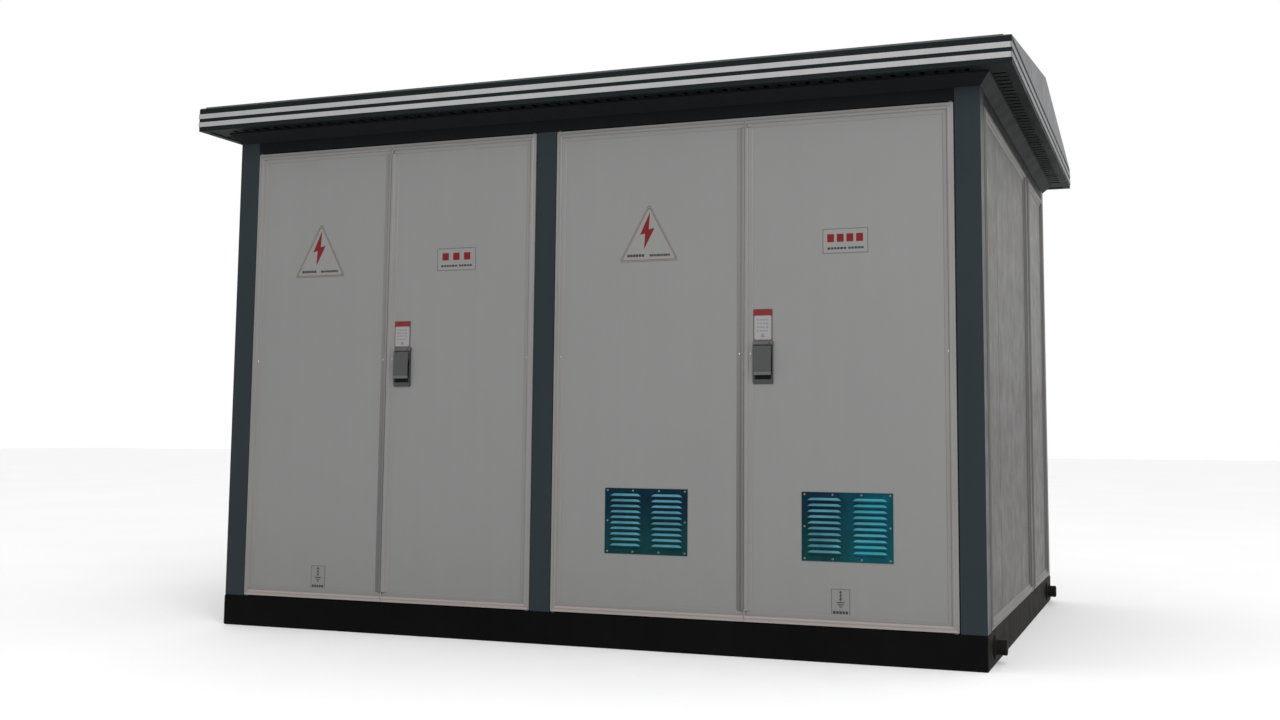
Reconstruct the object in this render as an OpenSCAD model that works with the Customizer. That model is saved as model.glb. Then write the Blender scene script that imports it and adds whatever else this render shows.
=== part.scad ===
// Packaged (box-type) transformer substation: steel enclosure with a
// high-voltage room and a transformer room at the front and a low-voltage
// room along the rear. Millimetres. +X along the length, front faces -Y,
// +Z up. Origin: centre of the footprint, on the ground.

/* [Body] */
// Length over the corner posts
body_w = 3600; // [3300:10:4000]
// Depth over the corner posts
body_d = 2600; // [2300:10:3000]
// Height of the roof edge's underside above the ground
eave_z = 2374; // [2374:2:2600]
// Face width of a corner post
post_w = 105; // [90:1:120]
// Face width of the middle posts
mid_w = 96; // [80:1:110]
// Centre of the front middle post from the body's centre
mid_x = -134; // [-200:1:-60]
// Centre of the side middle post from the body's centre
mid_y = 396; // [350:1:450]

/* [Base] */
// Height of the channel base
base_h = 140; // [120:2:180]
// Web and flange thickness of the channel
base_t = 8; // [6:1:12]
// Flange width of the channel
base_f = 58; // [50:1:70]
// Lifting trunnion diameter
trunnion_d = 60; // [50:1:70]
// Lifting trunnion length, pad included
trunnion_l = 50; // [40:1:60]

/* [Roof] */
// Roof overhang past the body, all round
overhang = 145; // [100:5:200]
// Height of the fascia
fascia_h = 110; // [90:1:140]
// Total height at the ridge
ridge_z = 2680; // [2640:5:2900]

/* [Doors] */
// Gap between a leaf and the post or beam beside it
leaf_gap = 4; // [3.5:0.5:8]
// Gap between the two leaves of a pair
seam_gap = 4; // [4:0.5:8]
// Thickness of a leaf
leaf_t = 40; // [36:1:50]
// How far a leaf stands proud of the posts
leaf_proud = 6; // [2:1:8]
// Width of the trim rail round a leaf
trim_w = 45; // [42:1:60]
// Width of the trim rail along the seam of a pair
seam_w = 33; // [30:1:40]
// Depth of the panel's recess inside the trim
recess = 12; // [8:1:14]
// Height of the top of a leaf
leaf_top = 2270; // [2000:5:2270]

/* [Vents] */
// Width of a louvre plate
vent_w = 380; // [300:10:420]
// Height of a louvre plate
vent_h = 280; // [280:10:280]
// Louvre pitch
louvre_pitch = 23.6; // [22:0.2:24]

/* [Locks] */
// Height of the lock spindle
lock_z = 1270; // [1200:5:1350]
// Pitch radius of the pinion that drives the rods
pinion_r = 15.6; // [14:0.1:17]

/* [Hidden] */
$fn = 48;
hw = body_w / 2;
hd = body_d / 2;
fy = -hd - leaf_proud;              // front face of the trim rails
py = fy + recess;                   // front face of the leaf panels
by = fy + leaf_t;                   // back face of the trim rails
tray_t = leaf_t - recess - 2;       // depth of the folded panel trays
leaf_z = base_h + leaf_gap;
beam_z = leaf_top + leaf_gap;
// axis of a leaf: 12 from its edge, 11 behind its front face
ax_in = 12;
ax_y = fy + 11;
pin_r = 4.5;
hv_x0 = -hw + post_w + leaf_gap;
hv_x1 = mid_x - mid_w/2 - leaf_gap;
hv_lw = (hv_x1 - hv_x0 - seam_gap) / 2;
tx_x0 = mid_x + mid_w/2 + leaf_gap;
tx_x1 = hw - post_w - leaf_gap;
tx_lw = (tx_x1 - tx_x0 - seam_gap) / 2;
leaf_h = leaf_top - leaf_z;
fas_w = body_w + 2*overhang;
fas_d = body_d + 2*overhang;
fas_top = eave_z + fascia_h;
top_z = eave_z + 4;                 // underside of the soffit plate
lock_ax = hv_x0 + hv_lw + seam_gap + 80;
lock_bx = tx_x0 + tx_lw + seam_gap + 80;
rod_y = by + 14;                    // front face of the rods and pinion
rod_t = 8;
part_t = 30;                        // partition thickness
floor_t = 4;
rx0 = -1600; rmu_w = 450; rmu_d = 820; rmu_h = 1600; rmu_y = -1000;
tcx = 820; tcy = -460; tz = 250; tank_l = 1150; tank_w = 560; tank_h = 900;
lvx0 = -1560; lv_w = 780; lv_d = 600; lv_h = 2000; lv_y = 440;

// ---------- helpers ----------
// box from two corners
module bx(a, b) { translate(a) cube([b[0]-a[0], b[1]-a[1], b[2]-a[2]]); }
// cylinder along Y from y0 to y1
module cyl_y(x, z, r, y0, y1) { translate([x, y1, z]) rotate([90, 0, 0]) cylinder(h = y1 - y0, r = r); }
// cylinder along X from x0 to x1
module cyl_x(y, z, r, x0, x1) { translate([x0, y, z]) rotate([0, 90, 0]) cylinder(h = x1 - x0, r = r); }
// profile in (Y, Z), extruded along X
module px(l) { rotate([90, 0, 90]) linear_extrude(height = l) children(); }

// trim rail along +X, front at y = 0: outer flange, raised bead, channel,
// then the step down to the panel; m0 and m1 mitre its ends
module rail(l, m0, m1) {
  intersection() {
    px(l) polygon([[4, 0], [4, 12], [0, 15], [0, 25], [8, 29], [recess - 3, trim_w], [leaf_t, trim_w], [leaf_t, 0]]);
    translate([0, leaf_t + 1, 0]) rotate([90, 0, 0]) linear_extrude(height = leaf_t + 2)
      polygon([[0, 0], [l, 0], [l - m1*trim_w, trim_w], [m0*trim_w, trim_w]]);
  }
}
// four mitred rails round a fixed w x h panel, lower left corner at the origin
module rail_ring(w, h) {
  rail(w, 1, 1);
  translate([w, 0, h]) rotate([0, 180, 0]) rail(w, 1, 1);
  translate([0, 0, h]) rotate([0, 90, 0]) rail(h, 1, 1);
  translate([w, 0, 0]) rotate([0, -90, 0]) rail(h, 1, 1);
}
// rails of a leaf hinged at x = 0: mitred at the hinge side, the narrow seam
// rail butts between the top and bottom rails; lip closes the seam's gap
module leaf_ring(w, h, lip) {
  rail(w, 1, 0);
  translate([w, 0, h]) rotate([0, 180, 0]) rail(w, 0, 1);
  translate([0, 0, h]) rotate([0, 90, 0]) rail(h, 1, 1);
  translate([w, 0, trim_w]) rotate([0, -90, 0]) px(h - 2*trim_w)
    polygon([[0, 0], [0, 12], [8, 17], [recess - 3, seam_w], [leaf_t, seam_w], [leaf_t, 0]]);
  if (lip) bx([w - 1, 5, 0], [w + seam_gap - 1, 8, h]);
}
// folded sheet tray with three hat ribs on its back, front at y = 0
module tray(w, h) {
  difference() {
    cube([w, tray_t, h]);
    translate([2, 2, 2]) cube([w - 4, tray_t, h - 4]);
  }
  for (z = [h*0.22, h*0.5, h*0.78]) translate([1, 1, z - 30]) cube([w - 2, 21, 60]);
}
// a leaf's trim with its two pivot bores; side = -1 hinged at x0, +1 at x0 + w
module leaf_trim(x0, w, side) {
  hx = side < 0 ? x0 + ax_in : x0 + w - ax_in;
  difference() {
    if (side < 0) translate([x0, fy, leaf_z]) leaf_ring(w, leaf_h, false);
    else translate([x0 + w, fy, leaf_z]) mirror([1, 0, 0]) leaf_ring(w, leaf_h, true);
    translate([hx, ax_y, leaf_z - 1]) cylinder(h = 27, r = pin_r + 0.06);
    translate([hx, ax_y, leaf_top - 26]) cylinder(h = 27, r = pin_r + 0.06);
  }
}
module leaf_panel(x0, w, side) {
  translate([x0 + (side < 0 ? trim_w : seam_w), py, leaf_z + trim_w]) tray(w - trim_w - seam_w, leaf_h - 2*trim_w);
}
// guide block for a rod, fixed to the leaf's back
module rod_guide(xc, z) {
  difference() {
    bx([xc - 12, py + 1, z - 15], [xc + 12, rod_y + rod_t + 6, z + 15]);
    bx([xc - 6.35, rod_y - 0.35, z - 20], [xc + 6.35, rod_y + rod_t + 0.35, z + 20]);
  }
}

// ---------- base and frame ----------
// rolled channel along +X, web at y = 0, cut at 45 degrees at both ends with
// a fine weld gap
module channel(l) intersection() {
  px(l) polygon([[0, 0], [base_f, 0], [base_f, base_t], [base_t, base_t], [base_t, base_h - base_t],
    [base_f, base_h - base_t], [base_f, base_h], [0, base_h]]);
  linear_extrude(height = base_h) polygon([[0.3, 0], [l - 0.3, 0], [l - base_f - 0.3, base_f], [base_f + 0.3, base_f]]);
}
// cross member along +X, centred on y = 0
module i_beam(l) px(l) polygon([[-30, 30], [30, 30], [30, 38], [4, 38], [4, base_h - 8], [30, base_h - 8],
    [30, base_h], [-30, base_h], [-30, base_h - 8], [-4, base_h - 8], [-4, 38], [-30, 38]]);
module base_frame() color([0.07, 0.07, 0.07]) {
  for (m = [0, 1]) mirror([0, m, 0]) difference() {
    translate([-hw, -hd, 0]) channel(body_w);
    // anchor holes in the bottom flange
    for (x = [-1, 1]) translate([x*(hw - 200), -hd + 33, -1]) cylinder(h = base_t + 2, r = 9);
  }
  for (m = [0, 1]) mirror([m, 0, 0]) translate([hw, -hd, 0]) rotate([0, 0, 90]) channel(body_d);
  // cross members: along Y under the middle posts, along X under the partition
  e = base_f + 0.4;
  for (x = [mid_x, -1000, 900]) {
    translate([x, -hd + e, 0]) rotate([0, 0, 90]) i_beam(mid_y - 30.4 + hd - e);
    translate([x, mid_y + 30.4, 0]) rotate([0, 0, 90]) i_beam(hd - e - mid_y - 30.4);
  }
  translate([-hw + e, mid_y, 0]) i_beam(body_w - 2*e);
}
// upright earthing tab on the left end of the base
module earth_tab() color([0.60, 0.61, 0.62]) difference() {
  bx([-hw - 48, -hd + 396, 84], [-hw, -hd + 404, 136]);
  cyl_y(-hw - 26, 112, 6.5, -hd + 390, -hd + 410);
}
module lifting_trunnions() color([0.05, 0.05, 0.05])
  for (s = [-1, 1], y = [-hd + 200, hd - 200])
    mirror([s < 0 ? 1 : 0, 0, 0]) {
      cyl_x(y, 70, trunnion_d/2 + 15, hw, hw + 6);
      cyl_x(y, 70, trunnion_d/2, hw, hw + trunnion_l);
    }
module floor_plates() color([0.35, 0.36, 0.37]) difference() {
  union() {
    bx([-hw + 70, -hd + 62, base_h], [mid_x - 20, mid_y - 20, base_h + floor_t]);
    bx([mid_x + 20, -hd + 62, base_h], [hw - 70, mid_y - 20, base_h + floor_t]);
    bx([-hw + 70, mid_y + 20, base_h], [hw - 70, hd - 62, base_h + floor_t]);
  }
  // notches round the posts
  z0 = base_h - 1; z1 = base_h + floor_t + 1;
  for (sx = [0, 1], sy = [0, 1]) mirror([sx, 0, 0]) mirror([0, sy, 0])
    bx([hw - post_w - 0.5, hd - post_w - 0.5, z0], [hw, hd, z1]);
  for (sy = [0, 1]) mirror([0, sy, 0]) bx([mid_x - mid_w/2 - 0.5, hd - 70.5, z0], [mid_x + mid_w/2 + 0.5, hd, z1]);
  for (sx = [0, 1]) mirror([sx, 0, 0]) bx([hw - 70.5, mid_y - 49.5, z0], [hw, mid_y + 49.5, z1]);
  // cable ways under the switchgear, oil drain in the transformer room
  bx([-1540, -440, z0], [-1060, -250, z1]);
  bx([-940, -440, z0], [-310, -250, z1]);
  for (i = [0:3]) bx([lvx0 + i*lv_w + 180, 780, z0], [lvx0 + i*lv_w + 600, 980, z1]);
  translate([1300, -1130, z0]) cylinder(h = floor_t + 2, r = 50);
}
module corner_posts() color([0.20, 0.22, 0.24])
  for (x = [-1, 1], y = [-1, 1]) mirror([x < 0 ? 1 : 0, 0, 0]) mirror([0, y < 0 ? 1 : 0, 0])
    difference() {
      bx([hw - post_w, hd - post_w, base_h], [hw, hd, top_z]);
      bx([hw - post_w + 5, hd - post_w + 5, base_h - 1], [hw - 5, hd - 5, top_z + 1]);
    }
module mid_posts() color([0.20, 0.22, 0.24]) {
  for (s = [0, 1]) mirror([0, s, 0]) difference() {
    bx([mid_x - mid_w/2, -hd, base_h], [mid_x + mid_w/2, -hd + 70, beam_z]);
    bx([mid_x - mid_w/2 + 5, -hd + 5, base_h - 1], [mid_x + mid_w/2 - 5, -hd + 65, beam_z + 1]);
  }
  for (s = [0, 1]) mirror([s, 0, 0]) difference() {
    bx([hw - 70, mid_y - 49, base_h], [hw, mid_y + 49, beam_z]);
    bx([hw - 65, mid_y - 44, base_h - 1], [hw - 5, mid_y + 44, beam_z + 1]);
  }
}
module top_frame() color([0.20, 0.22, 0.24]) {
  for (s = [0, 1]) mirror([0, s, 0]) difference() {
    bx([-hw + post_w, -hd, beam_z], [hw - post_w, -hd + 70, top_z]);
    bx([-hw + post_w - 1, -hd + 5, beam_z + 5], [hw - post_w + 1, -hd + 65, top_z - 5]);
  }
  for (s = [0, 1]) mirror([s, 0, 0]) difference() {
    bx([hw - 70, -hd + post_w, beam_z], [hw, hd - post_w, top_z]);
    bx([hw - 65, -hd + post_w - 1, beam_z + 5], [hw - 5, hd - post_w + 1, top_z - 5]);
  }
}
// stop strips behind the leaves and side panels, each welded to a post or beam
module stops_for(x0, x1) {
  y0 = by + 3; y1 = by + 9;
  bx([x0, y0, beam_z - 22], [x1, y1, beam_z]);
  bx([x0, y0, base_h], [x1, y1, base_h + 26]);
  bx([x0 - leaf_gap, y0, base_h + 28], [x0 + 14, y1, beam_z - 24]);
  bx([x1 - 14, y0, base_h + 28], [x1 + leaf_gap, y1, beam_z - 24]);
}
module door_stops() color([0.16, 0.17, 0.18]) {
  for (s = [0, 1]) mirror([0, s, 0]) {
    stops_for(hv_x0, hv_x1);
    stops_for(tx_x0, tx_x1);
  }
}
// pivot pins standing on the base and hanging from the beam, with washers
module pivot_pins() color([0.62, 0.63, 0.65])
  for (s = [0, 1]) mirror([0, s, 0])
    for (x = [hv_x0 + ax_in, hv_x1 - ax_in, tx_x0 + ax_in, tx_x1 - ax_in]) {
      translate([x, ax_y, base_h]) cylinder(h = leaf_gap + 22, r = pin_r);
      translate([x, ax_y, base_h]) cylinder(h = leaf_gap - 1, r = 8.5);
      translate([x, ax_y, leaf_top - 22]) cylinder(h = leaf_gap + 22, r = pin_r);
      translate([x, ax_y, leaf_top + 1]) cylinder(h = leaf_gap - 1, r = 8.5);
    }

// ---------- walls ----------
// side panels: near bay and far bay, built like the leaves but fixed
sw_y0 = -hd + post_w + leaf_gap; sw_y1 = mid_y - 49 - leaf_gap;
sw_y2 = mid_y + 49 + leaf_gap;   sw_y3 = hd - post_w - leaf_gap;
module on_side(y0) { translate([hw + leaf_proud, y0, leaf_z]) rotate([0, 0, 90]) children(); }
module side_walls() color([0.52, 0.53, 0.52])
  for (s = [0, 1]) mirror([s, 0, 0]) {
    on_side(sw_y0) translate([trim_w, recess, trim_w]) difference() {
      tray(sw_y1 - sw_y0 - 2*trim_w, leaf_h - 2*trim_w);
      // joint between the narrow and the wide sheet
      translate([360, -1, -1]) cube([5, 2, leaf_h]);
    }
    on_side(sw_y2) translate([trim_w, recess, trim_w])
      tray(sw_y3 - sw_y2 - 2*trim_w, leaf_h - 2*trim_w);
    // flanges that tie the panels to the posts behind the gaps
    for (y = [[sw_y0 - leaf_gap, sw_y0 + 60], [sw_y1 - 60, sw_y1 + leaf_gap], [sw_y2 - leaf_gap, sw_y2 + 60], [sw_y3 - 60, sw_y3 + leaf_gap]])
      bx([hw + leaf_proud - leaf_t - 4, y[0], leaf_z + 60], [hw + leaf_proud - leaf_t, y[1], leaf_top - 60]);
  }
module side_trims() color([0.56, 0.55, 0.54])
  for (s = [0, 1]) mirror([s, 0, 0]) {
    on_side(sw_y0) rail_ring(sw_y1 - sw_y0, leaf_h);
    on_side(sw_y2) rail_ring(sw_y3 - sw_y2, leaf_h);
  }
module partitions() color([0.60, 0.61, 0.60]) {
  // between the front rooms and the low-voltage room
  difference() {
    bx([-hw + 70, mid_y - part_t/2, base_h], [hw - 70, mid_y + part_t/2, top_z]);
    bx([-hw + 74, mid_y - part_t/2 + 3, base_h - 1], [hw - 74, mid_y + part_t/2 - 3, top_z + 1]);
    for (i = [0:3]) bx([470 + 170*i, mid_y - 50, 1760], [530 + 170*i, mid_y + 50, 1860]);
  }
  // between the high-voltage and the transformer room
  difference() {
    bx([mid_x - part_t/2, -hd + 70, base_h], [mid_x + part_t/2, mid_y - part_t/2 - 1, top_z]);
    bx([mid_x - part_t/2 + 3, -hd + 74, base_h - 1], [mid_x + part_t/2 - 3, mid_y - part_t/2 - 5, top_z + 1]);
    for (i = [0:2]) cyl_x(tcy - 130, 1900 + 60*i, 24, mid_x - 40, mid_x + 40);
  }
}

// ---------- roof ----------
module roof_shell() color([0.22, 0.25, 0.26]) {
  d = fas_d/2;
  translate([-fas_w/2 + 33, 0, 0]) px(fas_w - 66)
    polygon([[-d + 5, fas_top], [-d + 5, fas_top + 9], [0, ridge_z], [d - 5, fas_top + 9],
             [d - 5, fas_top], [d - 8, fas_top], [d - 8, fas_top + 6], [0, ridge_z - 3],
             [-d + 8, fas_top + 6], [-d + 8, fas_top]]);
  // gable ends with their turned-in rims
  for (s = [0, 1]) mirror([s, 0, 0]) {
    translate([fas_w/2 - 4, 0, 0]) px(4)
      polygon([[-d, fas_top], [-d + 8, fas_top + 6], [0, ridge_z - 3], [d - 8, fas_top + 6], [d, fas_top]]);
    translate([fas_w/2 - 60, 0, 0]) px(58)
      polygon([[-d, fas_top], [-d + 8, fas_top + 6], [0, ridge_z - 3], [d - 8, fas_top + 6], [d, fas_top],
               [d - 12, fas_top], [0, ridge_z - 7], [-d + 12, fas_top]]);
  }
}
module roof_fascia() color([0.20, 0.22, 0.24]) difference() {
  bx([-fas_w/2, -fas_d/2, eave_z], [fas_w/2, fas_d/2, fas_top]);
  bx([-fas_w/2 + 4, -fas_d/2 + 4, eave_z + 4], [fas_w/2 - 4, fas_d/2 - 4, fas_top + 1]);
  bx([-fas_w/2 + 35, -fas_d/2 + 35, eave_z - 1], [fas_w/2 - 35, fas_d/2 - 35, eave_z + 5]);
}
// two light bands round the fascia
module band(z, h) difference() {
  bx([-fas_w/2 - 2, -fas_d/2 - 2, z], [fas_w/2 + 2, fas_d/2 + 2, z + h]);
  bx([-fas_w/2, -fas_d/2, z - 1], [fas_w/2, fas_d/2, z + h + 1]);
}
module fascia_stripes() color([0.80, 0.80, 0.79]) {
  band(eave_z + 22, 23);
  band(eave_z + 62, 23);
}
module soffit() color([0.17, 0.18, 0.19])
  translate([0, 0, eave_z + 4]) linear_extrude(height = 3) difference() {
    square([fas_w - 10, fas_d - 10], center = true);
    for (s = [-1, 1]) {
      for (x = [-hw + 20 : 60 : hw - 20]) translate([x - 10, s*(hd + 76) - 27]) square([20, 54]);
      for (y = [-hd + 20 : 60 : hd - 20]) translate([s*(hw + 76) - 27, y - 10]) square([54, 20]);
    }
  }
// sloping mould between the wall and the soffit
module cove_bar(l, s) intersection() {
  translate([-s, 0, 0]) px(l + 2*s) polygon([[0, 0], [-s, 46], [-s, 50], [0, 50]]);
  linear_extrude(height = 60) polygon([[0, 0], [l, 0], [l + s, -s], [-s, -s]]);
}
module cove_mould() color([0.10, 0.11, 0.12]) {
  z = eave_z - 46; s = 44;
  for (m = [0, 1]) mirror([0, m, 0]) translate([-hw, -hd, z]) cove_bar(body_w, s);
  for (m = [0, 1]) mirror([m, 0, 0]) translate([hw, -hd, z]) rotate([0, 0, 90]) cove_bar(body_d, s);
}

// ---------- high-voltage room ----------
module rmu_cabinet() color([0.72, 0.73, 0.70])
  for (i = [0:2]) translate([rx0 + i*rmu_w, rmu_y, base_h + floor_t]) difference() {
    translate([1, 3, 0]) cube([rmu_w - 2, rmu_d - 3, rmu_h]);
    translate([4, 6, 3]) cube([rmu_w - 8, rmu_d - 10, 320]);
    for (k = [[60, 323], [326, 696], [704, 980], [983, 1280], [1283, rmu_h - 4]])
      translate([4, 2, k[0]]) cube([rmu_w - 8, rmu_d - 6, k[1] - k[0]]);
    // bushing holes through the top
    if (i == 2) for (k = [0:2]) translate([rmu_w/2 - 100 + 100*k, tcy - 130 - rmu_y, rmu_h - 20]) cylinder(h = 30, r = 22);
  }
module rmu_front() color([0.66, 0.67, 0.64])
  for (i = [0:2]) translate([rx0 + i*rmu_w, rmu_y, base_h + floor_t]) {
    difference() {
      translate([3, 0, 62]) cube([rmu_w - 6, 3, 634]);
      translate([rmu_w/2 - 60, -1, 420]) cube([120, 5, 80]);
    }
    difference() {
      translate([3, 0, 704]) cube([rmu_w - 6, 3, rmu_h - 712]);
      if (i > 0) cyl_y(rmu_w/2, 1130, 10.06, -1, 4);
      translate([rmu_w/2 - 90, -1, 1380]) cube([180, 5, 60]);
      for (k = [0:2]) cyl_y(rmu_w/2 - 60 + 60*k, 860, 9, -1, 4);
    }
  }
module rmu_lever(i) color([0.12, 0.12, 0.13]) translate([rx0 + i*rmu_w + rmu_w/2, rmu_y, base_h + floor_t + 1130]) {
  cyl_y(0, 0, 10, -20, 60);
  cyl_y(0, 0, 30, -30, -4);
  cyl_y(0, 0, 24, 8, 14);
  bx([-13, -40, -150], [13, -22, 20]);
  translate([0, -31, -150]) sphere(r = 17);
}
module rmu_lever_a() rmu_lever(1);
module rmu_lever_b() rmu_lever(2);
// three screened cables, held from the switchgear's top to the transformer
module hv_cable(i) {
  x0 = rx0 + 2*rmu_w + rmu_w/2 + 100 - 100*i; x1 = tcx - 300 + 300*i;
  y = tcy - 130; z0 = base_h + floor_t + rmu_h - 60; zt = 1900 + 60*i; z1 = tz + tank_h + 324;
  r = 15; R = 70;
  translate([x0, y, z0]) cylinder(h = zt - R - z0, r = r);
  translate([x0 + R, y, zt - R]) rotate([90, 0, 0]) rotate([0, 0, 90]) rotate_extrude(angle = 90) translate([R, 0]) circle(r = r);
  cyl_x(y, zt, r, x0 + R, x1 - R);
  translate([x1 - R, y, zt - R]) rotate([90, 0, 0]) rotate_extrude(angle = 90) translate([R, 0]) circle(r = r);
  translate([x1, y, z1]) cylinder(h = zt - R - z1, r = r);
  // stress cones at both ends
  translate([x1, y, z1]) cylinder(h = 150, r1 = 24, r2 = 16);
}
module hv_cables() color([0.45, 0.06, 0.05]) for (i = [0:2]) hv_cable(i);

// ---------- transformer ----------
module tx_tank() color([0.30, 0.34, 0.35]) {
  difference() {
    bx([tcx - tank_l/2, tcy - tank_w/2, tz], [tcx + tank_l/2, tcy + tank_w/2, tz + tank_h]);
    bx([tcx - tank_l/2 + 8, tcy - tank_w/2 + 8, tz + 8], [tcx + tank_l/2 - 8, tcy + tank_w/2 - 8, tz + tank_h + 1]);
  }
  // two rails on the floor and the rim under the cover
  for (s = [-1, 1]) bx([tcx - 330*s - 40, tcy - 420, base_h + floor_t], [tcx - 330*s + 40, tcy + 420, tz]);
  difference() {
    bx([tcx - tank_l/2 - 40, tcy - tank_w/2 - 40, tz + tank_h - 12], [tcx + tank_l/2 + 40, tcy + tank_w/2 + 40, tz + tank_h]);
    bx([tcx - tank_l/2 + 8, tcy - tank_w/2 + 8, tz + tank_h - 20], [tcx + tank_l/2 - 8, tcy + tank_w/2 - 8, tz + tank_h + 1]);
  }
}
// corrugated cooling fins on the two long sides and the two ends
module tx_fins() color([0.30, 0.34, 0.35])
  for (s = [0, 1]) {
    translate([0, tcy, 0]) mirror([0, s, 0]) for (i = [0:20])
      bx([tcx - 504 + 50*i, -tank_w/2 - 160, tz + 90], [tcx - 496 + 50*i, -tank_w/2, tz + 800]);
    translate([tcx, 0, 0]) mirror([s, 0, 0]) for (i = [0:8])
      bx([tank_l/2, tcy - 204 + 50*i, tz + 90], [tank_l/2 + 120, tcy - 196 + 50*i, tz + 800]);
  }
module tx_cover() color([0.30, 0.34, 0.35]) {
  z = tz + tank_h;
  difference() {
    bx([tcx - tank_l/2 - 40, tcy - tank_w/2 - 40, z], [tcx + tank_l/2 + 40, tcy + tank_w/2 + 40, z + 14]);
    translate([tcx - 480, tcy, z - 1]) cylinder(h = 16, r = 10.06);
  }
  // lifting lugs and the cover's bolts
  for (x = [-1, 1], y = [-1, 1]) difference() {
    bx([tcx + x*430 - 40, tcy + y*240 - 6, z + 13], [tcx + x*430 + 40, tcy + y*240 + 6, z + 80]);
    cyl_y(tcx + x*430, z + 50, 14, tcy + y*240 - 10, tcy + y*240 + 10);
  }
  for (i = [0:9], s = [-1, 1]) translate([tcx - 540 + 120*i, tcy + s*(tank_w/2 + 22), z + 13]) cylinder(h = 11, r = 8);
}
module tx_core() color([0.45, 0.30, 0.18]) {
  bx([tcx - 480, tcy - 90, tz + 40], [tcx + 480, tcy + 90, tz + 150]);
  bx([tcx - 480, tcy - 90, tz + 700], [tcx + 480, tcy + 90, tz + 810]);
  for (i = [-1, 0, 1]) translate([tcx + 320*i, tcy, tz + 149]) cylinder(h = 552, r = 145);
}
module hv_bushing() {
  rotate_extrude() polygon([[0, 0], [42, 0], [42, 20], [34, 26], [34, 60],
    [46, 66], [34, 78], [46, 96], [33, 108], [46, 126], [32, 138], [45, 156], [31, 168],
    [44, 186], [30, 198], [43, 216], [29, 228], [24, 262], [12, 268], [12, 310], [0, 310]]);
}
module tx_hv_bushings() color([0.45, 0.20, 0.12])
  for (i = [-1, 0, 1]) translate([tcx + 300*i, tcy - 130, tz + tank_h + 14]) hv_bushing();
module tx_lv_bushings() color([0.80, 0.79, 0.74])
  for (i = [0:3]) translate([500 + 170*i, tcy + 130, tz + tank_h + 14])
    rotate_extrude() polygon([[0, 0], [36, 0], [36, 16], [28, 22], [28, 40], [38, 46], [28, 56],
      [38, 70], [27, 80], [24, 104], [14, 108], [14, 160], [0, 160]]);
module tx_tap_knob() color([0.10, 0.10, 0.11]) translate([tcx - 480, tcy, tz + tank_h]) {
  translate([0, 0, -60]) cylinder(h = 120, r = 10);
  translate([0, 0, 15]) cylinder(h = 26, r = 34);
  bx([-6, -30, 40], [6, 44, 62]);
}
module tx_gauges() color([0.70, 0.71, 0.72]) {
  z = tz + tank_h + 14;
  translate([tcx + 480, tcy, z]) { cylinder(h = 90, r = 10); translate([0, 0, 90]) rotate([0, 90, 0]) translate([0, 0, -20]) cylinder(h = 40, r = 48); }
  translate([tcx + 480, tcy - 150, z]) { cylinder(h = 120, r = 22); translate([0, 0, 120]) cylinder(h = 16, r = 30); }
  translate([tcx - 480, tcy + 170, z]) { cylinder(h = 60, r = 26); translate([0, 0, 60]) cylinder(h = 14, r = 36); }
}

// ---------- low-voltage room ----------
module lv_cabinet() color([0.74, 0.75, 0.73])
  for (i = [0:3]) translate([lvx0 + i*lv_w, lv_y, base_h + floor_t]) difference() {
    translate([1, 0, 0]) cube([lv_w - 2, lv_d - 3, lv_h]);
    translate([4, 4, 4]) cube([lv_w - 8, lv_d - 11, 300]);
    for (k = [[60, 360], [364, 660], [668, 1016], [1020, 1426], [1434, 1726], [1730, lv_h - 4]])
      translate([4, 4, k[0]]) cube([lv_w - 8, lv_d, k[1] - k[0]]);
    if (i == 2 || i == 3) for (k = [0:3]) {
      x = 500 + 170*k - (lvx0 + i*lv_w);
      if (x > 30 && x < lv_w - 30) translate([x - 30, -1, 1760 - 144]) cube([60, 10, 100]);
    }
  }
module lv_front() color([0.70, 0.71, 0.70])
  for (i = [0:3]) translate([lvx0 + i*lv_w, lv_y + lv_d - 3, base_h + floor_t]) {
    difference() {
      translate([4, 0, 62]) cube([lv_w - 8, 3, 596]);
      for (k = [0:5]) translate([lv_w/2 - 120, -1, 120 + 30*k]) cube([240, 5, 8]);
    }
    difference() {
      translate([4, 0, 668]) cube([lv_w - 8, 3, 756]);
      if (i == 0) cyl_y(lv_w/2, 1050, 10.06, -1, 4);
    }
    difference() {
      translate([4, 0, 1434]) cube([lv_w - 8, 3, lv_h - 1440]);
      for (k = [-1, 0, 1]) translate([lv_w/2 + 130*k - 48, -1, 1620]) cube([96, 5, 96]);
    }
    // meters behind the cut-outs, breaker bodies on the middle door
    for (k = [-1, 0, 1]) bx([lv_w/2 + 130*k - 47, -30, 1621], [lv_w/2 + 130*k + 47, 5, 1715]);
    if (i > 0) for (k = [-1, 0, 1], r = [0, 1]) {
      bx([lv_w/2 + 180*k - 60, 2, 760 + 320*r], [lv_w/2 + 180*k + 60, 40, 980 + 320*r]);
      bx([lv_w/2 + 180*k - 14, 39, 850 + 320*r], [lv_w/2 + 180*k + 14, 58, 890 + 320*r]);
    }
  }
module lv_main_handle() color([0.75, 0.10, 0.08]) translate([lvx0 + lv_w/2, lv_y + lv_d, base_h + floor_t + 1050]) {
  cyl_y(0, 0, 10, -40, 20);
  cyl_y(0, 0, 36, 1, 22);
  bx([-12, 21, -110], [12, 44, 40]);
}
// four flat bars from the low-voltage bushings through the partition
module busbars() color([0.72, 0.42, 0.22]) for (i = [0:3]) {
  x = 500 + 170*i; z = 1805;
  bx([x - 20, tcy + 126, tz + tank_h + 174], [x + 20, tcy + 134, z + 4]);
  bx([x - 20, tcy + 126, z - 4], [x + 20, lv_y + 120, z + 4]);
}

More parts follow.
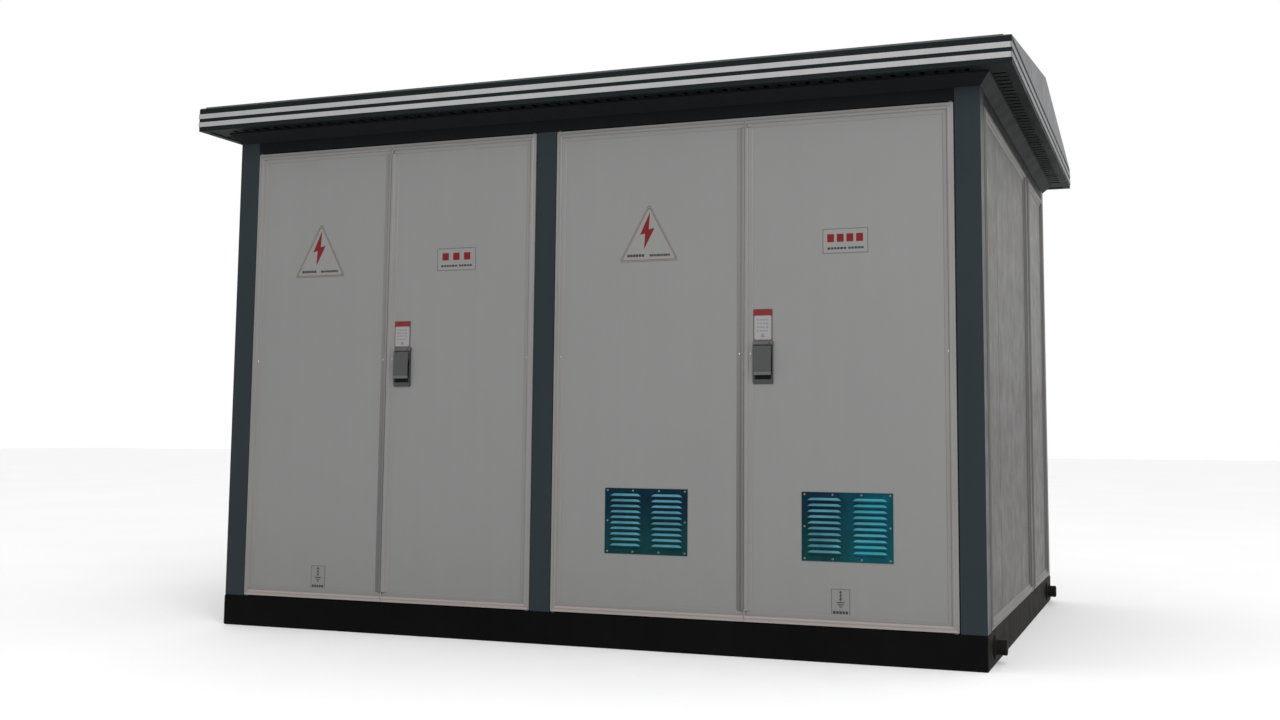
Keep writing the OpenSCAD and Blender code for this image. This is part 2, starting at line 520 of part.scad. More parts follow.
// ---------- front leaves ----------
module hv_leaf_l() color([0.52, 0.53, 0.52]) leaf_panel(hv_x0, hv_lw, -1);
module hv_trim_l() color([0.56, 0.55, 0.54]) leaf_trim(hv_x0, hv_lw, -1);
module active_panel(x0, w, lx) {
  difference() {
    leaf_panel(x0, w, 1);
    cyl_y(lx, lock_z, 12.1, py - 1, py + 40);
  }
  for (z = [1420, 2120]) rod_guide(lx - pinion_r - 6.4, z);
  for (z = [1110, 260]) rod_guide(lx + pinion_r + 6.4, z);
}
module hv_leaf_r() color([0.52, 0.53, 0.52]) active_panel(hv_x0 + hv_lw + seam_gap, hv_lw, lock_ax);
module hv_trim_r() color([0.56, 0.55, 0.54]) leaf_trim(hv_x0 + hv_lw + seam_gap, hv_lw, 1);
// louvre plates: centre x and height of the two vents
vent_z = 403;
vent_lx = 361; vent_rx = 1241;
module vent_hole(xc) bx([xc - vent_w/2 + 20, py - 1, vent_z + 18], [xc + vent_w/2 - 20, py + 40, vent_z + vent_h - 18]);
module tx_leaf_l() color([0.52, 0.53, 0.52]) difference() { leaf_panel(tx_x0, tx_lw, -1); vent_hole(vent_lx); }
module tx_trim_l() color([0.56, 0.55, 0.54]) leaf_trim(tx_x0, tx_lw, -1);
module tx_leaf_r() color([0.52, 0.53, 0.52]) difference() { active_panel(tx_x0 + tx_lw + seam_gap, tx_lw, lock_bx); vent_hole(vent_rx); }
module tx_trim_r() color([0.56, 0.55, 0.54]) leaf_trim(tx_x0 + tx_lw + seam_gap, tx_lw, 1);
module vent(xc) translate([xc, py, vent_z]) {
  difference() {
    union() {
      bx([-vent_w/2, -2, 0], [vent_w/2, 0, vent_h]);
      for (c = [-1, 1], i = [0:9])
        translate([c*95 - 70, -1, 29 + louvre_pitch*i]) px(140) polygon([[0, 0], [-9, 0], [-9, 3], [0, 16]]);
    }
    for (c = [-1, 1], i = [0:9])
      translate([c*95 - 68, 1, 28 + louvre_pitch*i]) px(136) polygon([[0, 0], [-9.8, 0], [-9.8, 3.5], [-2, 14], [0, 14]]);
  }
  for (x = [-vent_w/2 + 12, -60, 60, vent_w/2 - 12], z = [10, vent_h - 10]) cyl_y(x, z, 5, -5, -1);
  for (x = [-vent_w/2 + 12, vent_w/2 - 12]) cyl_y(x, vent_h/2, 5, -5, -1);
}
module tx_vent_l() color([0.02, 0.30, 0.36]) vent(vent_lx);
module tx_vent_r() color([0.02, 0.30, 0.36]) vent(vent_rx);

// ---------- rod locks ----------
// plate with its cap, lower rim and finger pocket
module lock_plate(lx) color([0.33, 0.34, 0.34]) difference() {
  union() {
    bx([lx - 42.5, py - 6, 1129], [lx + 42.5, py, 1308]);
    bx([lx - 42.5, py - 10, 1290], [lx + 42.5, py, 1308]);
    bx([lx - 42.5, py - 10, 1129], [lx + 42.5, py, 1147]);
    // sleeve through the leaf
    cyl_y(lx, lock_z, 12, py, py + 34);
  }
  cyl_y(lx, lock_z, 9.06, py - 20, py + 50);
  // finger pocket under the handle's lip
  bx([lx - 36, py - 7, 1147], [lx + 36, py - 3, 1176]);
}
module lock_spindle(lx) color([0.55, 0.56, 0.57]) {
  cyl_y(lx, lock_z, 9, py - 12, rod_y + rod_t + 4);
  cyl_y(lx, lock_z, pinion_r, rod_y, rod_y + rod_t);
  // head between the handle's cheeks, rounded about the hinge pin
  bx([lx - 12, py - 22, lock_z - 12], [lx + 12, py - 11, lock_z + 12.5]);
  cyl_x(py - 16.5, lock_z + 12.5, 5.5, lx - 12, lx + 12);
  // hinge pin of the handle
  cyl_x(py - 16.5, lock_z + 12.5, 2.5, lx - 33, lx + 33);
}
module lock_handle(lx) color([0.40, 0.41, 0.41]) difference() {
  union() {
    bx([lx - 38, py - 22, 1165], [lx + 38, py - 11, lock_z + 12.5]);
    cyl_x(py - 16.5, lock_z + 12.5, 5.5, lx - 38, lx + 38);
    // lip along the lower edge
    bx([lx - 38, py - 27, 1165], [lx + 38, py - 11, 1177]);
  }
  bx([lx - 12.5, py - 30, lock_z - 15], [lx + 12.5, py - 5, lock_z + 30]);
  cyl_x(py - 16.5, lock_z + 12.5, 2.56, lx - 34, lx + 34);
}
module lock_rod_up(lx) color([0.60, 0.61, 0.62])
  bx([lx - pinion_r - 12.4, rod_y, lock_z - 30], [lx - pinion_r - 0.4, rod_y + rod_t, beam_z - 26]);
module lock_rod_low(lx) color([0.60, 0.61, 0.62])
  bx([lx + pinion_r + 0.4, rod_y, base_h + 30], [lx + pinion_r + 12.4, rod_y + rod_t, lock_z + 30]);
module lock_a_plate() lock_plate(lock_ax);
module lock_a_spindle() lock_spindle(lock_ax);
module lock_a_handle() lock_handle(lock_ax);
module lock_a_rod_up() lock_rod_up(lock_ax);
module lock_a_rod_low() lock_rod_low(lock_ax);
module lock_b_plate() lock_plate(lock_bx);
module lock_b_spindle() lock_spindle(lock_bx);
module lock_b_handle() lock_handle(lock_bx);
module lock_b_rod_up() lock_rod_up(lock_bx);
module lock_b_rod_low() lock_rod_low(lock_bx);

// ---------- rear leaves ----------
module rear_leaf(x0, w, side, hx) color([0.52, 0.53, 0.52]) mirror([0, 1, 0]) {
  leaf_trim(x0, w, side);
  difference() {
    leaf_panel(x0, w, side);
    if (hx != 0) cyl_y(hx, lock_z, 9.06, py - 1, py + 50);
  }
  if (hx != 0) difference() {
    bx([hx - 25, py - 4, lock_z - 60], [hx + 25, py + 1, lock_z + 60]);
    cyl_y(hx, lock_z, 9.06, py - 10, py + 50);
  }
}
rear_ax = lock_ax; rear_bx = lock_bx;
module rear_leaf_1() rear_leaf(hv_x0, hv_lw, -1, 0);
module rear_leaf_2() rear_leaf(hv_x0 + hv_lw + seam_gap, hv_lw, 1, rear_ax);
module rear_leaf_3() rear_leaf(tx_x0, tx_lw, -1, 0);
module rear_leaf_4() rear_leaf(tx_x0 + tx_lw + seam_gap, tx_lw, 1, rear_bx);
module rear_handle(hx) color([0.40, 0.41, 0.41]) mirror([0, 1, 0]) {
  cyl_y(hx, lock_z, 9, py - 14, py + 40);
  cyl_y(hx, lock_z, 22, py - 12, py - 5);
  bx([hx - 11, py - 26, lock_z - 110], [hx + 11, py - 11, lock_z + 14]);
  cyl_y(hx, lock_z, 24, py + 31, py + 37);
}
module rear_handle_a() rear_handle(rear_ax);
module rear_handle_b() rear_handle(rear_bx);

base_frame();
earth_tab();
lifting_trunnions();
floor_plates();
corner_posts();
mid_posts();
top_frame();
door_stops();
pivot_pins();
side_walls();
side_trims();
partitions();
roof_shell();
roof_fascia();
fascia_stripes();
soffit();
cove_mould();
rmu_cabinet();
rmu_front();
hv_cables();
tx_tank();
tx_fins();
tx_cover();
tx_core();
tx_hv_bushings();
tx_lv_bushings();
tx_gauges();
lv_cabinet();
lv_front();
busbars();
hv_leaf_l();
hv_trim_l();
hv_leaf_r();
hv_trim_r();
tx_leaf_l();
tx_trim_l();
tx_vent_l();
tx_leaf_r();
tx_trim_r();
tx_vent_r();
lock_a_plate();
lock_a_spindle();
lock_a_handle();
lock_a_rod_up();
lock_a_rod_low();
lock_b_plate();
lock_b_spindle();
lock_b_handle();
lock_b_rod_up();
lock_b_rod_low();
rear_leaf_1();
rear_leaf_2();
rear_leaf_3();
rear_leaf_4();
rear_handle_a();
rear_handle_b();
tx_tap_knob();
rmu_lever_a();
rmu_lever_b();
lv_main_handle();
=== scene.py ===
import math
import random

import bmesh
import bpy
from mathutils import Matrix, Vector


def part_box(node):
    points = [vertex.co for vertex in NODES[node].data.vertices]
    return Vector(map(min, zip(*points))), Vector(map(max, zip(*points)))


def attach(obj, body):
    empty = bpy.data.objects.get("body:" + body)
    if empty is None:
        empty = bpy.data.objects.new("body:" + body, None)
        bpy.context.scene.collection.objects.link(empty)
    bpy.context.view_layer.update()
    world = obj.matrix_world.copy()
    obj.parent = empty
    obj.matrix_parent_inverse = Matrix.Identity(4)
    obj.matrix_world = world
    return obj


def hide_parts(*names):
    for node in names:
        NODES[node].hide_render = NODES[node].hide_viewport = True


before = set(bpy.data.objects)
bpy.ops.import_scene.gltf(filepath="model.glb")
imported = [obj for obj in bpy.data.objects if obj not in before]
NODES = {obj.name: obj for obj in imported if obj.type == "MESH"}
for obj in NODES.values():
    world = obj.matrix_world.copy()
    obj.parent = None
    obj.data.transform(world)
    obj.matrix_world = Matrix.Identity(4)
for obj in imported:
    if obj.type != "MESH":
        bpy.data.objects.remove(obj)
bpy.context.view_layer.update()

random.seed(7)


# ------------------------------------------------------------------ positions, in millimetres, from the CAD
def mm(node):
    a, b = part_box(node)
    return [v * 1000 for v in a], [v * 1000 for v in b]


LEAVES = {}
for key in ("hv_trim_l", "hv_trim_r", "tx_trim_l", "tx_trim_r"):
    a, b = mm(key)
    LEAVES[key] = (a[0], b[0], a[2], b[2])
FY = mm("hv_trim_l")[0][1]                      # front face of the rails
BY = mm("hv_trim_l")[1][1]                      # their back face
PY = mm("tx_vent_l")[0][1]                      # replaced below by the panel's own face
PY = mm("hv_leaf_l")[0][1]
PROUD = PY - FY                                 # depth of the panel behind the rails
BODY = mm("base_frame")
HW = BODY[1][0]
HD = BODY[1][1]
BASE_H = BODY[1][2]
SIDE_X = mm("side_trims")[1][0]
LOCKS = {}
for k in "ab":
    a, b = mm("lock_%s_plate" % k)
    LOCKS[k] = ((a[0] + b[0]) / 2, a[2], b[2])
VENTS = {}
for k in "lr":
    a, b = mm("tx_vent_" + k)
    VENTS[k] = ((a[0] + b[0]) / 2, a[2], b[2], b[0] - a[0])
LOCK_Z = 1270.0


# ------------------------------------------------------------------ node materials
class Mat:
    """A node tree under construction, with a few short-hands."""

    def __init__(self, name):
        self.m = bpy.data.materials.new(name)
        self.m.use_nodes = True
        self.t = self.m.node_tree
        self.t.nodes.clear()
        self.out = self.t.nodes.new("ShaderNodeOutputMaterial")
        self.b = self.t.nodes.new("ShaderNodeBsdfPrincipled")
        self.t.links.new(self.b.outputs[0], self.out.inputs[0])
        self.tc = self.t.nodes.new("ShaderNodeTexCoord")
        self.obj = self.tc.outputs["Object"]
        self.sep = None

    def link(self, a, b):
        self.t.links.new(a, b)

    def xyz(self, k):
        if self.sep is None:
            self.sep = self.t.nodes.new("ShaderNodeSeparateXYZ")
            self.link(self.obj, self.sep.inputs[0])
        return self.sep.outputs[k]

    def mapped(self, scale, rot=(0, 0, 0)):
        n = self.t.nodes.new("ShaderNodeMapping")
        n.inputs["Scale"].default_value = scale
        n.inputs["Rotation"].default_value = rot
        self.link(self.obj, n.inputs[0])
        return n.outputs[0]

    def noise(self, scale, detail=3.0, rough=0.5, vec=None, dist=0.0):
        n = self.t.nodes.new("ShaderNodeTexNoise")
        n.inputs["Scale"].default_value = scale
        n.inputs["Detail"].default_value = detail
        n.inputs["Roughness"].default_value = rough
        n.inputs["Distortion"].default_value = dist
        self.link(vec if vec is not None else self.obj, n.inputs["Vector"])
        return n.outputs[0]

    def voronoi(self, scale, feature="F1", vec=None):
        n = self.t.nodes.new("ShaderNodeTexVoronoi")
        n.feature = feature
        n.inputs["Scale"].default_value = scale
        self.link(vec if vec is not None else self.obj, n.inputs["Vector"])
        return n.outputs[0]

    def rng(self, v, a, b, c, d, smooth=False):
        n = self.t.nodes.new("ShaderNodeMapRange")
        if smooth:
            n.interpolation_type = "SMOOTHSTEP"
        for i, x in zip((1, 2, 3, 4), (a, b, c, d)):
            n.inputs[i].default_value = x
        self.link(v, n.inputs[0])
        return n.outputs[0]

    def math(self, op, a, b=None, clamp=False):
        n = self.t.nodes.new("ShaderNodeMath")
        n.operation = op
        n.use_clamp = clamp
        for i, x in enumerate((a, b)):
            if x is None:
                continue
            if isinstance(x, (int, float)):
                n.inputs[i].default_value = x
            else:
                self.link(x, n.inputs[i])
        return n.outputs[0]

    def mix(self, fac, a, b, mode="MIX"):
        n = self.t.nodes.new("ShaderNodeMix")
        n.data_type = "RGBA"
        n.blend_type = mode
        if isinstance(fac, (int, float)):
            n.inputs[0].default_value = fac
        else:
            self.link(fac, n.inputs[0])
        for i, x in ((6, a), (7, b)):
            if isinstance(x, (tuple, list)):
                n.inputs[i].default_value = (*x[:3], 1.0)
            else:
                self.link(x, n.inputs[i])
        return n.outputs[2]

    def shade(self, rgb, factor):
        """rgb times a varying factor."""
        n = self.t.nodes.new("ShaderNodeVectorMath")
        n.operation = "SCALE"
        if isinstance(rgb, (tuple, list)):
            n.inputs[0].default_value = rgb[:3]
        else:
            self.link(rgb, n.inputs[0])
        self.link(factor, n.inputs["Scale"])
        return n.outputs[0]

    def bump(self, height, strength, distance, normal=None):
        n = self.t.nodes.new("ShaderNodeBump")
        n.inputs["Strength"].default_value = strength
        n.inputs["Distance"].default_value = distance
        self.link(height, n.inputs["Height"])
        if normal is not None:
            self.link(normal, n.inputs["Normal"])
        return n.outputs[0]

    def done(self, color, rough, normal=None, metallic=0.0, spec=0.5, coat=0.0, coat_rough=0.1):
        if isinstance(color, (tuple, list)):
            self.b.inputs["Base Color"].default_value = (*color[:3], 1.0)
        else:
            self.link(color, self.b.inputs["Base Color"])
        if isinstance(rough, (int, float)):
            self.b.inputs["Roughness"].default_value = rough
        else:
            self.link(rough, self.b.inputs["Roughness"])
        self.b.inputs["Metallic"].default_value = metallic
        self.b.inputs["Specular IOR Level"].default_value = spec
        self.b.inputs["Coat Weight"].default_value = coat
        self.b.inputs["Coat Roughness"].default_value = coat_rough
        if normal is not None:
            self.link(normal, self.b.inputs["Normal"])
        return self.m


def paint(name, rgb, rough=0.45, var=0.05, streak=0.05, peel=0.10, metallic=0.0, spec=0.5,
          swell=0.12, dust=None, dust_rgb=(0.30, 0.27, 0.24), dust_z=(0.10, 0.55), coat=0.0, side_light_and_dust=None, top_fade=None, end_painted_shade=None):
    """Sprayed paint on sheet steel: broad mottling, faint runs down the face, orange peel, dust near the ground;
    optionally a painted shade past x = 1.94 m and painted light with dust-like mottling on the +x end face.
    """
    m = Mat(name)
    broad = m.rng(m.noise(1.7, 3.0), 0.3, 0.7, 1 - var, 1 + var)
    runs = m.rng(m.noise(1.0, 4.0, 0.6, m.mapped((16, 16, 0.7))), 0.3, 0.7, 1 - streak, 1 + streak)
    fine = m.rng(m.noise(60, 4.0, 0.6), 0.25, 0.75, 1 - var * 0.45, 1 + var * 0.45)
    f = m.math("MULTIPLY", m.math("MULTIPLY", broad, runs), fine)
    if top_fade:
        z0, z1, low = top_fade
        f = m.math("MULTIPLY", f, m.rng(m.xyz(2), z0, z1, low, 1.0, True))
    # painted shade: everything past x = 1.94 m, the right end face, is darkened by the given factor
    if end_painted_shade:
        f = m.math("MULTIPLY", f, m.rng(m.xyz(0), 1.938, 1.943, 1.0, end_painted_shade, True))
    col = m.shade(rgb, f)
    if dust:
        z = m.rng(m.xyz(2), dust_z[0], dust_z[1], 1.0, 0.0, True)
        d = m.math("MULTIPLY", z, m.rng(m.noise(7, 5.0, 0.65), 0.3, 0.75, 0.25, 1.0))
        d = m.math("MULTIPLY", d, dust, clamp=True)
        col = m.mix(d, col, dust_rgb)
    # painted light: the +x end face is lightened toward the given brown, mottled like dust
    if side_light_and_dust:
        x = m.rng(m.xyz(0), HW * 0.001 - 0.004, HW * 0.001 - 0.0005, 0.0, 1.0)
        x = m.math("MULTIPLY", x, m.rng(m.noise(5, 5.0, 0.6), 0.25, 0.75, 0.7, 1.0))
        col = m.mix(m.math("MULTIPLY", x, side_light_and_dust[0], clamp=True), col, side_light_and_dust[1])
    r = m.rng(m.noise(9, 4.0, 0.6), 0.3, 0.7, rough - 0.05, rough + 0.06)
    n = m.bump(m.noise(420, 2.0, 0.5), peel, 0.0004)
    n = m.bump(m.noise(3.2, 2.0, 0.4), swell, 0.004, n)
    return m.done(col, r, n, metallic, spec, coat)


def brushed(name, rgb, rough=0.35, along="z", metallic=0.85, var=0.06, spec=0.5):
    """Metal with fine lines along one axis."""
    m = Mat(name)
    s = {"x": (3, 420, 420), "y": (420, 3, 420), "z": (420, 420, 3)}[along]
    lines = m.noise(1.0, 3.0, 0.6, m.mapped(s))
    f = m.math("MULTIPLY", m.rng(lines, 0.3, 0.7, 1 - var, 1 + var), m.rng(m.noise(2.3, 3.0), 0.3, 0.7, 0.96, 1.04))
    r = m.rng(m.noise(1.0, 2.0, 0.5, m.mapped(tuple(v * 0.6 for v in s))), 0.3, 0.7, rough - 0.07, rough + 0.07)
    n = m.bump(lines, 0.08, 0.0003)
    return m.done(m.shade(rgb, f), r, n, metallic, spec)


def plastic(name, rgb, rough=0.4, grain=260, strength=0.12, spec=0.5, var=0.05, coat=0.0):
    m = Mat(name)
    f = m.rng(m.noise(24, 3.0), 0.3, 0.7, 1 - var, 1 + var)
    n = m.bump(m.voronoi(grain), strength, 0.0004)
    r = m.rng(m.noise(30, 3.0), 0.3, 0.7, rough - 0.05, rough + 0.05)
    return m.done(m.shade(rgb, f), r, n, 0.0, spec, coat)


def side_paint_shaded(name="side_panel_painted_shade"):
    """Semi-gloss paint of the end walls, a darker copy of the front paint as painted shade: paler to the rear as
    painted light, a warm dark painted shade low down, faint level bands.
    """
    m = Mat(name)
    # painted light: paler toward the rear
    along = m.rng(m.xyz(1), 0.10, 0.60, 0.84, 1.16, True)
    runs = m.rng(m.noise(1.0, 4.0, 0.6, m.mapped((16, 16, 0.7))), 0.3, 0.7, 0.97, 1.03)
    bands = m.rng(m.noise(1.0, 3.0, 0.5, m.mapped((0.5, 0.5, 5.5))), 0.35, 0.65, 0.90, 1.08)
    f = m.math("MULTIPLY", m.math("MULTIPLY", along, runs), bands)
    col = m.mix(m.rng(m.noise(1.0, 2.0, 0.5, m.mapped((0.4, 0.4, 3.2), (0, 0, 0))), 0.42, 0.62, 0.0, 1.0, True), (0.079, 0.081, 0.076), (0.084, 0.077, 0.069))
    # painted shade: darker and warmer below 1.75 m, much darker below 1.1-1.3 m
    low = m.rng(m.xyz(2), 1.10, 1.30, 1.0, 0.0, True)
    col = m.mix(m.math("MULTIPLY", low, 0.75), col, (0.030, 0.0225, 0.0215))
    mid = m.math("MULTIPLY", m.rng(m.xyz(2), 1.40, 1.75, 1.0, 0.0, True), 0.25)
    col = m.mix(mid, col, (0.052, 0.044, 0.044))
    n = m.bump(m.noise(420, 2.0, 0.5), 0.05, 0.0004)
    n = m.bump(m.noise(3.2, 2.0, 0.4), 0.05, 0.004, n)
    return m.done(m.shade(col, f), m.rng(m.noise(9, 4.0, 0.6), 0.3, 0.7, 0.34, 0.44), n, 0.0, 0.12)


M = {}
M["panel"] = paint("panel_paint", (0.160, 0.1630, 0.1590), 0.42, 0.012, 0.014, 0.06, dust=0.22, dust_rgb=(0.13, 0.122, 0.114), spec=0.35,
                   swell=0.03)
# end walls: a darker copy of the front panel paint, as painted shade
M["side"] = side_paint_shaded()
M["slate"] = paint("frame_slate_paint", (0.0112, 0.0178, 0.0212), 0.38, 0.06, 0.04, 0.10, dust=0.05, dust_rgb=(0.03, 0.028, 0.027), dust_z=(0.10, 0.9), spec=0.16)
# top beam: a darker copy of the slate paint, painted shade under the eaves
M["beam"] = paint("beam_slate_painted_shade", (0.0040, 0.0051, 0.0056), 0.5, 0.06, 0.04, 0.10, spec=0.06)
M["fascia"] = paint("fascia_paint", (0.0082, 0.0112, 0.0120), 0.50, 0.08, 0.04, 0.10, spec=0.035)
# black base paint; its +x end face is lightened to brown as painted light, with dust-like mottling
M["base"] = paint("base_black_paint", (0.0026, 0.0026, 0.0027), 0.62, 0.20, 0.12, 0.30, dust=0.02, dust_z=(0.0, 0.12),
                  dust_rgb=(0.05, 0.045, 0.04), side_light_and_dust=(0.5, (0.020, 0.0165, 0.0135)), spec=0.03)
M["stop"] = paint("stop_dark_paint", (0.02, 0.022, 0.025), 0.5, 0.1, 0.05, 0.15)
M["roof"] = paint("roof_slate_paint", (0.040, 0.049, 0.052), 0.42, 0.10, 0.0, 0.12)
# stripes: painted shade darkens them on the right end face
M["stripe"] = paint("stripe_paint", (0.285, 0.287, 0.288), 0.40, 0.04, 0.04, 0.08, spec=0.15, end_painted_shade=0.52)
# soffit and cove mould: dark paint darkened further as painted shade under the overhang
M["soffit"] = paint("soffit_painted_shade", (0.0040, 0.0051, 0.0055), 0.6, 0.12, 0.0, 0.12, spec=0.09)
M["liner"] = paint("liner_paint", (0.42, 0.43, 0.42), 0.5, 0.04, 0.05, 0.12, dust=0.2)
M["cabinet"] = paint("switchgear_paint", (0.50, 0.51, 0.48), 0.42, 0.03, 0.02, 0.18)
M["front"] = paint("switchgear_front_paint", (0.44, 0.45, 0.425), 0.40, 0.03, 0.02, 0.22)
M["tank"] = paint("tank_paint", (0.13, 0.155, 0.165), 0.38, 0.06, 0.07, 0.14, dust=0.3)
M["white"] = paint("label_white_film", (0.215, 0.208, 0.213), 0.40, 0.03, 0.02, 0.03, spec=0.3)
M["pale"] = paint("label_pale_film", (0.172, 0.171, 0.165), 0.40, 0.02, 0.02, 0.03, spec=0.3)
M["red"] = plastic("label_red_ink", (0.115, 0.0035, 0.005), 0.45, 500, 0.03, spec=0.2)
M["brown"] = plastic("label_outline_ink", (0.092, 0.060, 0.036), 0.45, 500, 0.03, spec=0.2)
M["ink"] = plastic("label_dark_ink", (0.020, 0.026, 0.023), 0.5, 500, 0.03, spec=0.2)
M["frame_ink"] = plastic("label_frame_ink", (0.085, 0.090, 0.080), 0.45, 500, 0.03, spec=0.2)
M["sticker"] = paint("sticker_clear_film", (0.152, 0.151, 0.149), 0.34, 0.02, 0.02, 0.03, spec=0.3)
M["card_back"] = paint("card_back_plate", (0.085, 0.066, 0.060), 0.40, 0.03, 0.02, 0.04, spec=0.3)
M["red_card"] = plastic("card_red_film", (0.120, 0.0065, 0.0055), 0.42, 500, 0.03, spec=0.3)
M["faint"] = plastic("label_faint_ink", (0.135, 0.138, 0.145), 0.5, 500, 0.03, spec=0.2)
M["black"] = plastic("black_plastic", (0.013, 0.013, 0.014), 0.42, 260, 0.2)
M["redp"] = plastic("red_plastic", (0.45, 0.02, 0.014), 0.3, 260, 0.08, coat=0.3)
M["yellow"] = plastic("yellow_plastic", (0.62, 0.38, 0.02), 0.35, 260, 0.08)
M["green"] = plastic("green_plastic", (0.02, 0.25, 0.07), 0.3, 260, 0.08, coat=0.3)
M["rubber"] = plastic("gasket_rubber", (0.02, 0.02, 0.021), 0.7, 180, 0.25)
M["cable"] = plastic("cable_sheath", (0.26, 0.028, 0.022), 0.5, 140, 0.15, var=0.12)
M["glass"] = plastic("window_glass", (0.018, 0.026, 0.028), 0.06, 30, 0.0, 0.6, coat=0.5)
M["dial"] = plastic("dial_white", (0.68, 0.68, 0.65), 0.3, 400, 0.03)
M["steel"] = brushed("bright_steel", (0.55, 0.56, 0.57), 0.28, "z", 1.0)
M["zincx"] = brushed("zinc_plate", (0.48, 0.49, 0.50), 0.33, "x", 1.0)
M["trim_v"] = brushed("trim_alloy_upright", (0.168, 0.164, 0.159), 0.42, "z", 0.10, 0.04, 0.3)
M["trim_h"] = brushed("trim_alloy_level", (0.168, 0.164, 0.159), 0.42, "x", 0.10, 0.04, 0.3)
# darker, browner copies of the trim alloy for the end walls: painted shade
M["trim_hy"] = brushed("trim_alloy_side", (0.088, 0.080, 0.076), 0.42, "y", 0.10, 0.04, 0.3)
M["trim_s"] = brushed("trim_alloy_side_upright", (0.088, 0.080, 0.076), 0.42, "z", 0.10, 0.04, 0.3)
# lighter copy of the trim alloy for the seam strip: painted highlight
M["trim_lip"] = brushed("trim_alloy_lip_painted_highlight", (0.225, 0.222, 0.216), 0.40, "z", 0.10, 0.04, 0.3)
M["pocket"] = paint("lock_pocket_painted_shade", (0.006, 0.0066, 0.0063), 0.6, 0.06, 0.03, 0.08, spec=0.1)
M["dim"] = brushed("dull_screw_steel", (0.19, 0.19, 0.19), 0.35, "z", 0.6, 0.05, 0.4)
M["dim_pin"] = brushed("pivot_pin_steel", (0.070, 0.070, 0.072), 0.4, "z", 0.4, 0.05, 0.3)
M["lock"] = paint("lock_enamel", (0.044, 0.0465, 0.0455), 0.38, 0.04, 0.03, 0.08, spec=0.25)
M["lock_lip"] = paint("lock_lip_painted_highlight", (0.074, 0.077, 0.0755), 0.34, 0.05, 0.02, 0.08, spec=0.3)
M["lock_edge"] = paint("lock_case_enamel", (0.036, 0.0375, 0.037), 0.38, 0.04, 0.03, 0.08, spec=0.25)
M["lock_cap"] = paint("lock_cap_enamel", (0.070, 0.0695, 0.067), 0.36, 0.04, 0.03, 0.08, spec=0.3)


def vent_film_highlit(name="vent_teal_film_painted_highlight", deep=(0.0014, 0.0135, 0.0245), low=(0.0024, 0.0290, 0.0310), sky=None):
    """Steel sheet under a teal film: deep on the upright faces, with a pale painted highlight on the slopes that look
    up.
    """
    m = Mat(name)
    f = m.rng(m.noise(26, 4.0, 0.6), 0.25, 0.75, 0.72, 1.28)
    col = m.shade(m.mix(m.rng(m.xyz(2), 0.64, 0.42, 0.0, 1.0, True), deep, low), f)
    # painted highlight: faces whose normal points up take the pale colour
    up = m.t.nodes.new("ShaderNodeSeparateXYZ")
    m.link(m.tc.outputs["Normal"], up.inputs[0])
    fac = m.rng(up.outputs[2], 0.22, 0.62, 0.0, 1.0, True)
    pale = m.shade((0.070, 0.212, 0.275), m.rng(m.noise(7, 3.0, 0.5), 0.3, 0.7, 0.62, 1.15))
    # painted sheen: a clearer turquoise toward the right-hand plate's right half
    painted_sheen = m.math("MULTIPLY", m.rng(m.xyz(0), 1.16, 1.34, 0.0, 0.75, True), m.rng(m.noise(9, 3.0, 0.5), 0.35, 0.65, 0.35, 1.0))
    col = m.mix(painted_sheen, col, (0.0012, 0.070, 0.098))
    pale = m.mix(painted_sheen, pale, (0.014, 0.245, 0.290))
    col = m.mix(fac, col, pale)
    r = m.rng(m.noise(18, 4.0, 0.6), 0.3, 0.7, 0.26, 0.40)
    n = m.bump(m.noise(38, 3.0, 0.5), 0.05, 0.001)
    return m.done(col, r, n, 0.0, 0.05, 0.0)


def chequer(name="chequer_plate"):
    """Grey tread plate with raised studs."""
    m = Mat(name)
    a = m.rng(m.voronoi(26, "F1", m.mapped((1.0, 2.4, 1.0), (0, 0, 0.78))), 0.10, 0.24, 1.0, 0.0, True)
    b = m.rng(m.voronoi(26, "F1", m.mapped((2.4, 1.0, 1.0), (0, 0, 0.78))), 0.08, 0.20, 1.0, 0.0, True)
    h = m.math("MAXIMUM", a, b)
    f = m.math("MULTIPLY", m.rng(m.noise(3, 5.0, 0.6), 0.3, 0.7, 0.85, 1.12), m.rng(h, 0, 1, 0.92, 1.2))
    return m.done(m.shade((0.17, 0.175, 0.175), f), m.rng(m.noise(12, 3), 0.3, 0.7, 0.42, 0.6), m.bump(h, 0.5, 0.0015),
                  0.35, 0.5)


def ceramic(name, rgb):
    m = Mat(name)
    f = m.rng(m.noise(14, 4.0), 0.3, 0.7, 0.88, 1.1)
    return m.done(m.shade(rgb, f), m.rng(m.noise(30, 3), 0.3, 0.7, 0.12, 0.22), m.bump(m.noise(90, 2.0), 0.05, 0.0006),
                  0.0, 0.6, 0.5)


def copper(name="busbar_copper"):
    m = Mat(name)
    f = m.rng(m.noise(11, 4.0, 0.6), 0.3, 0.7, 0.75, 1.12)
    col = m.mix(m.rng(m.noise(5, 5.0, 0.65), 0.5, 0.75, 0.0, 0.45), m.shade((0.62, 0.27, 0.13), f), (0.22, 0.10, 0.06))
    return m.done(col, m.rng(m.noise(20, 4), 0.3, 0.7, 0.28, 0.48), m.bump(m.noise(1.0, 3.0, 0.5, m.mapped((300, 4, 300))), 0.06, 0.0004),
                  0.95, 0.5)


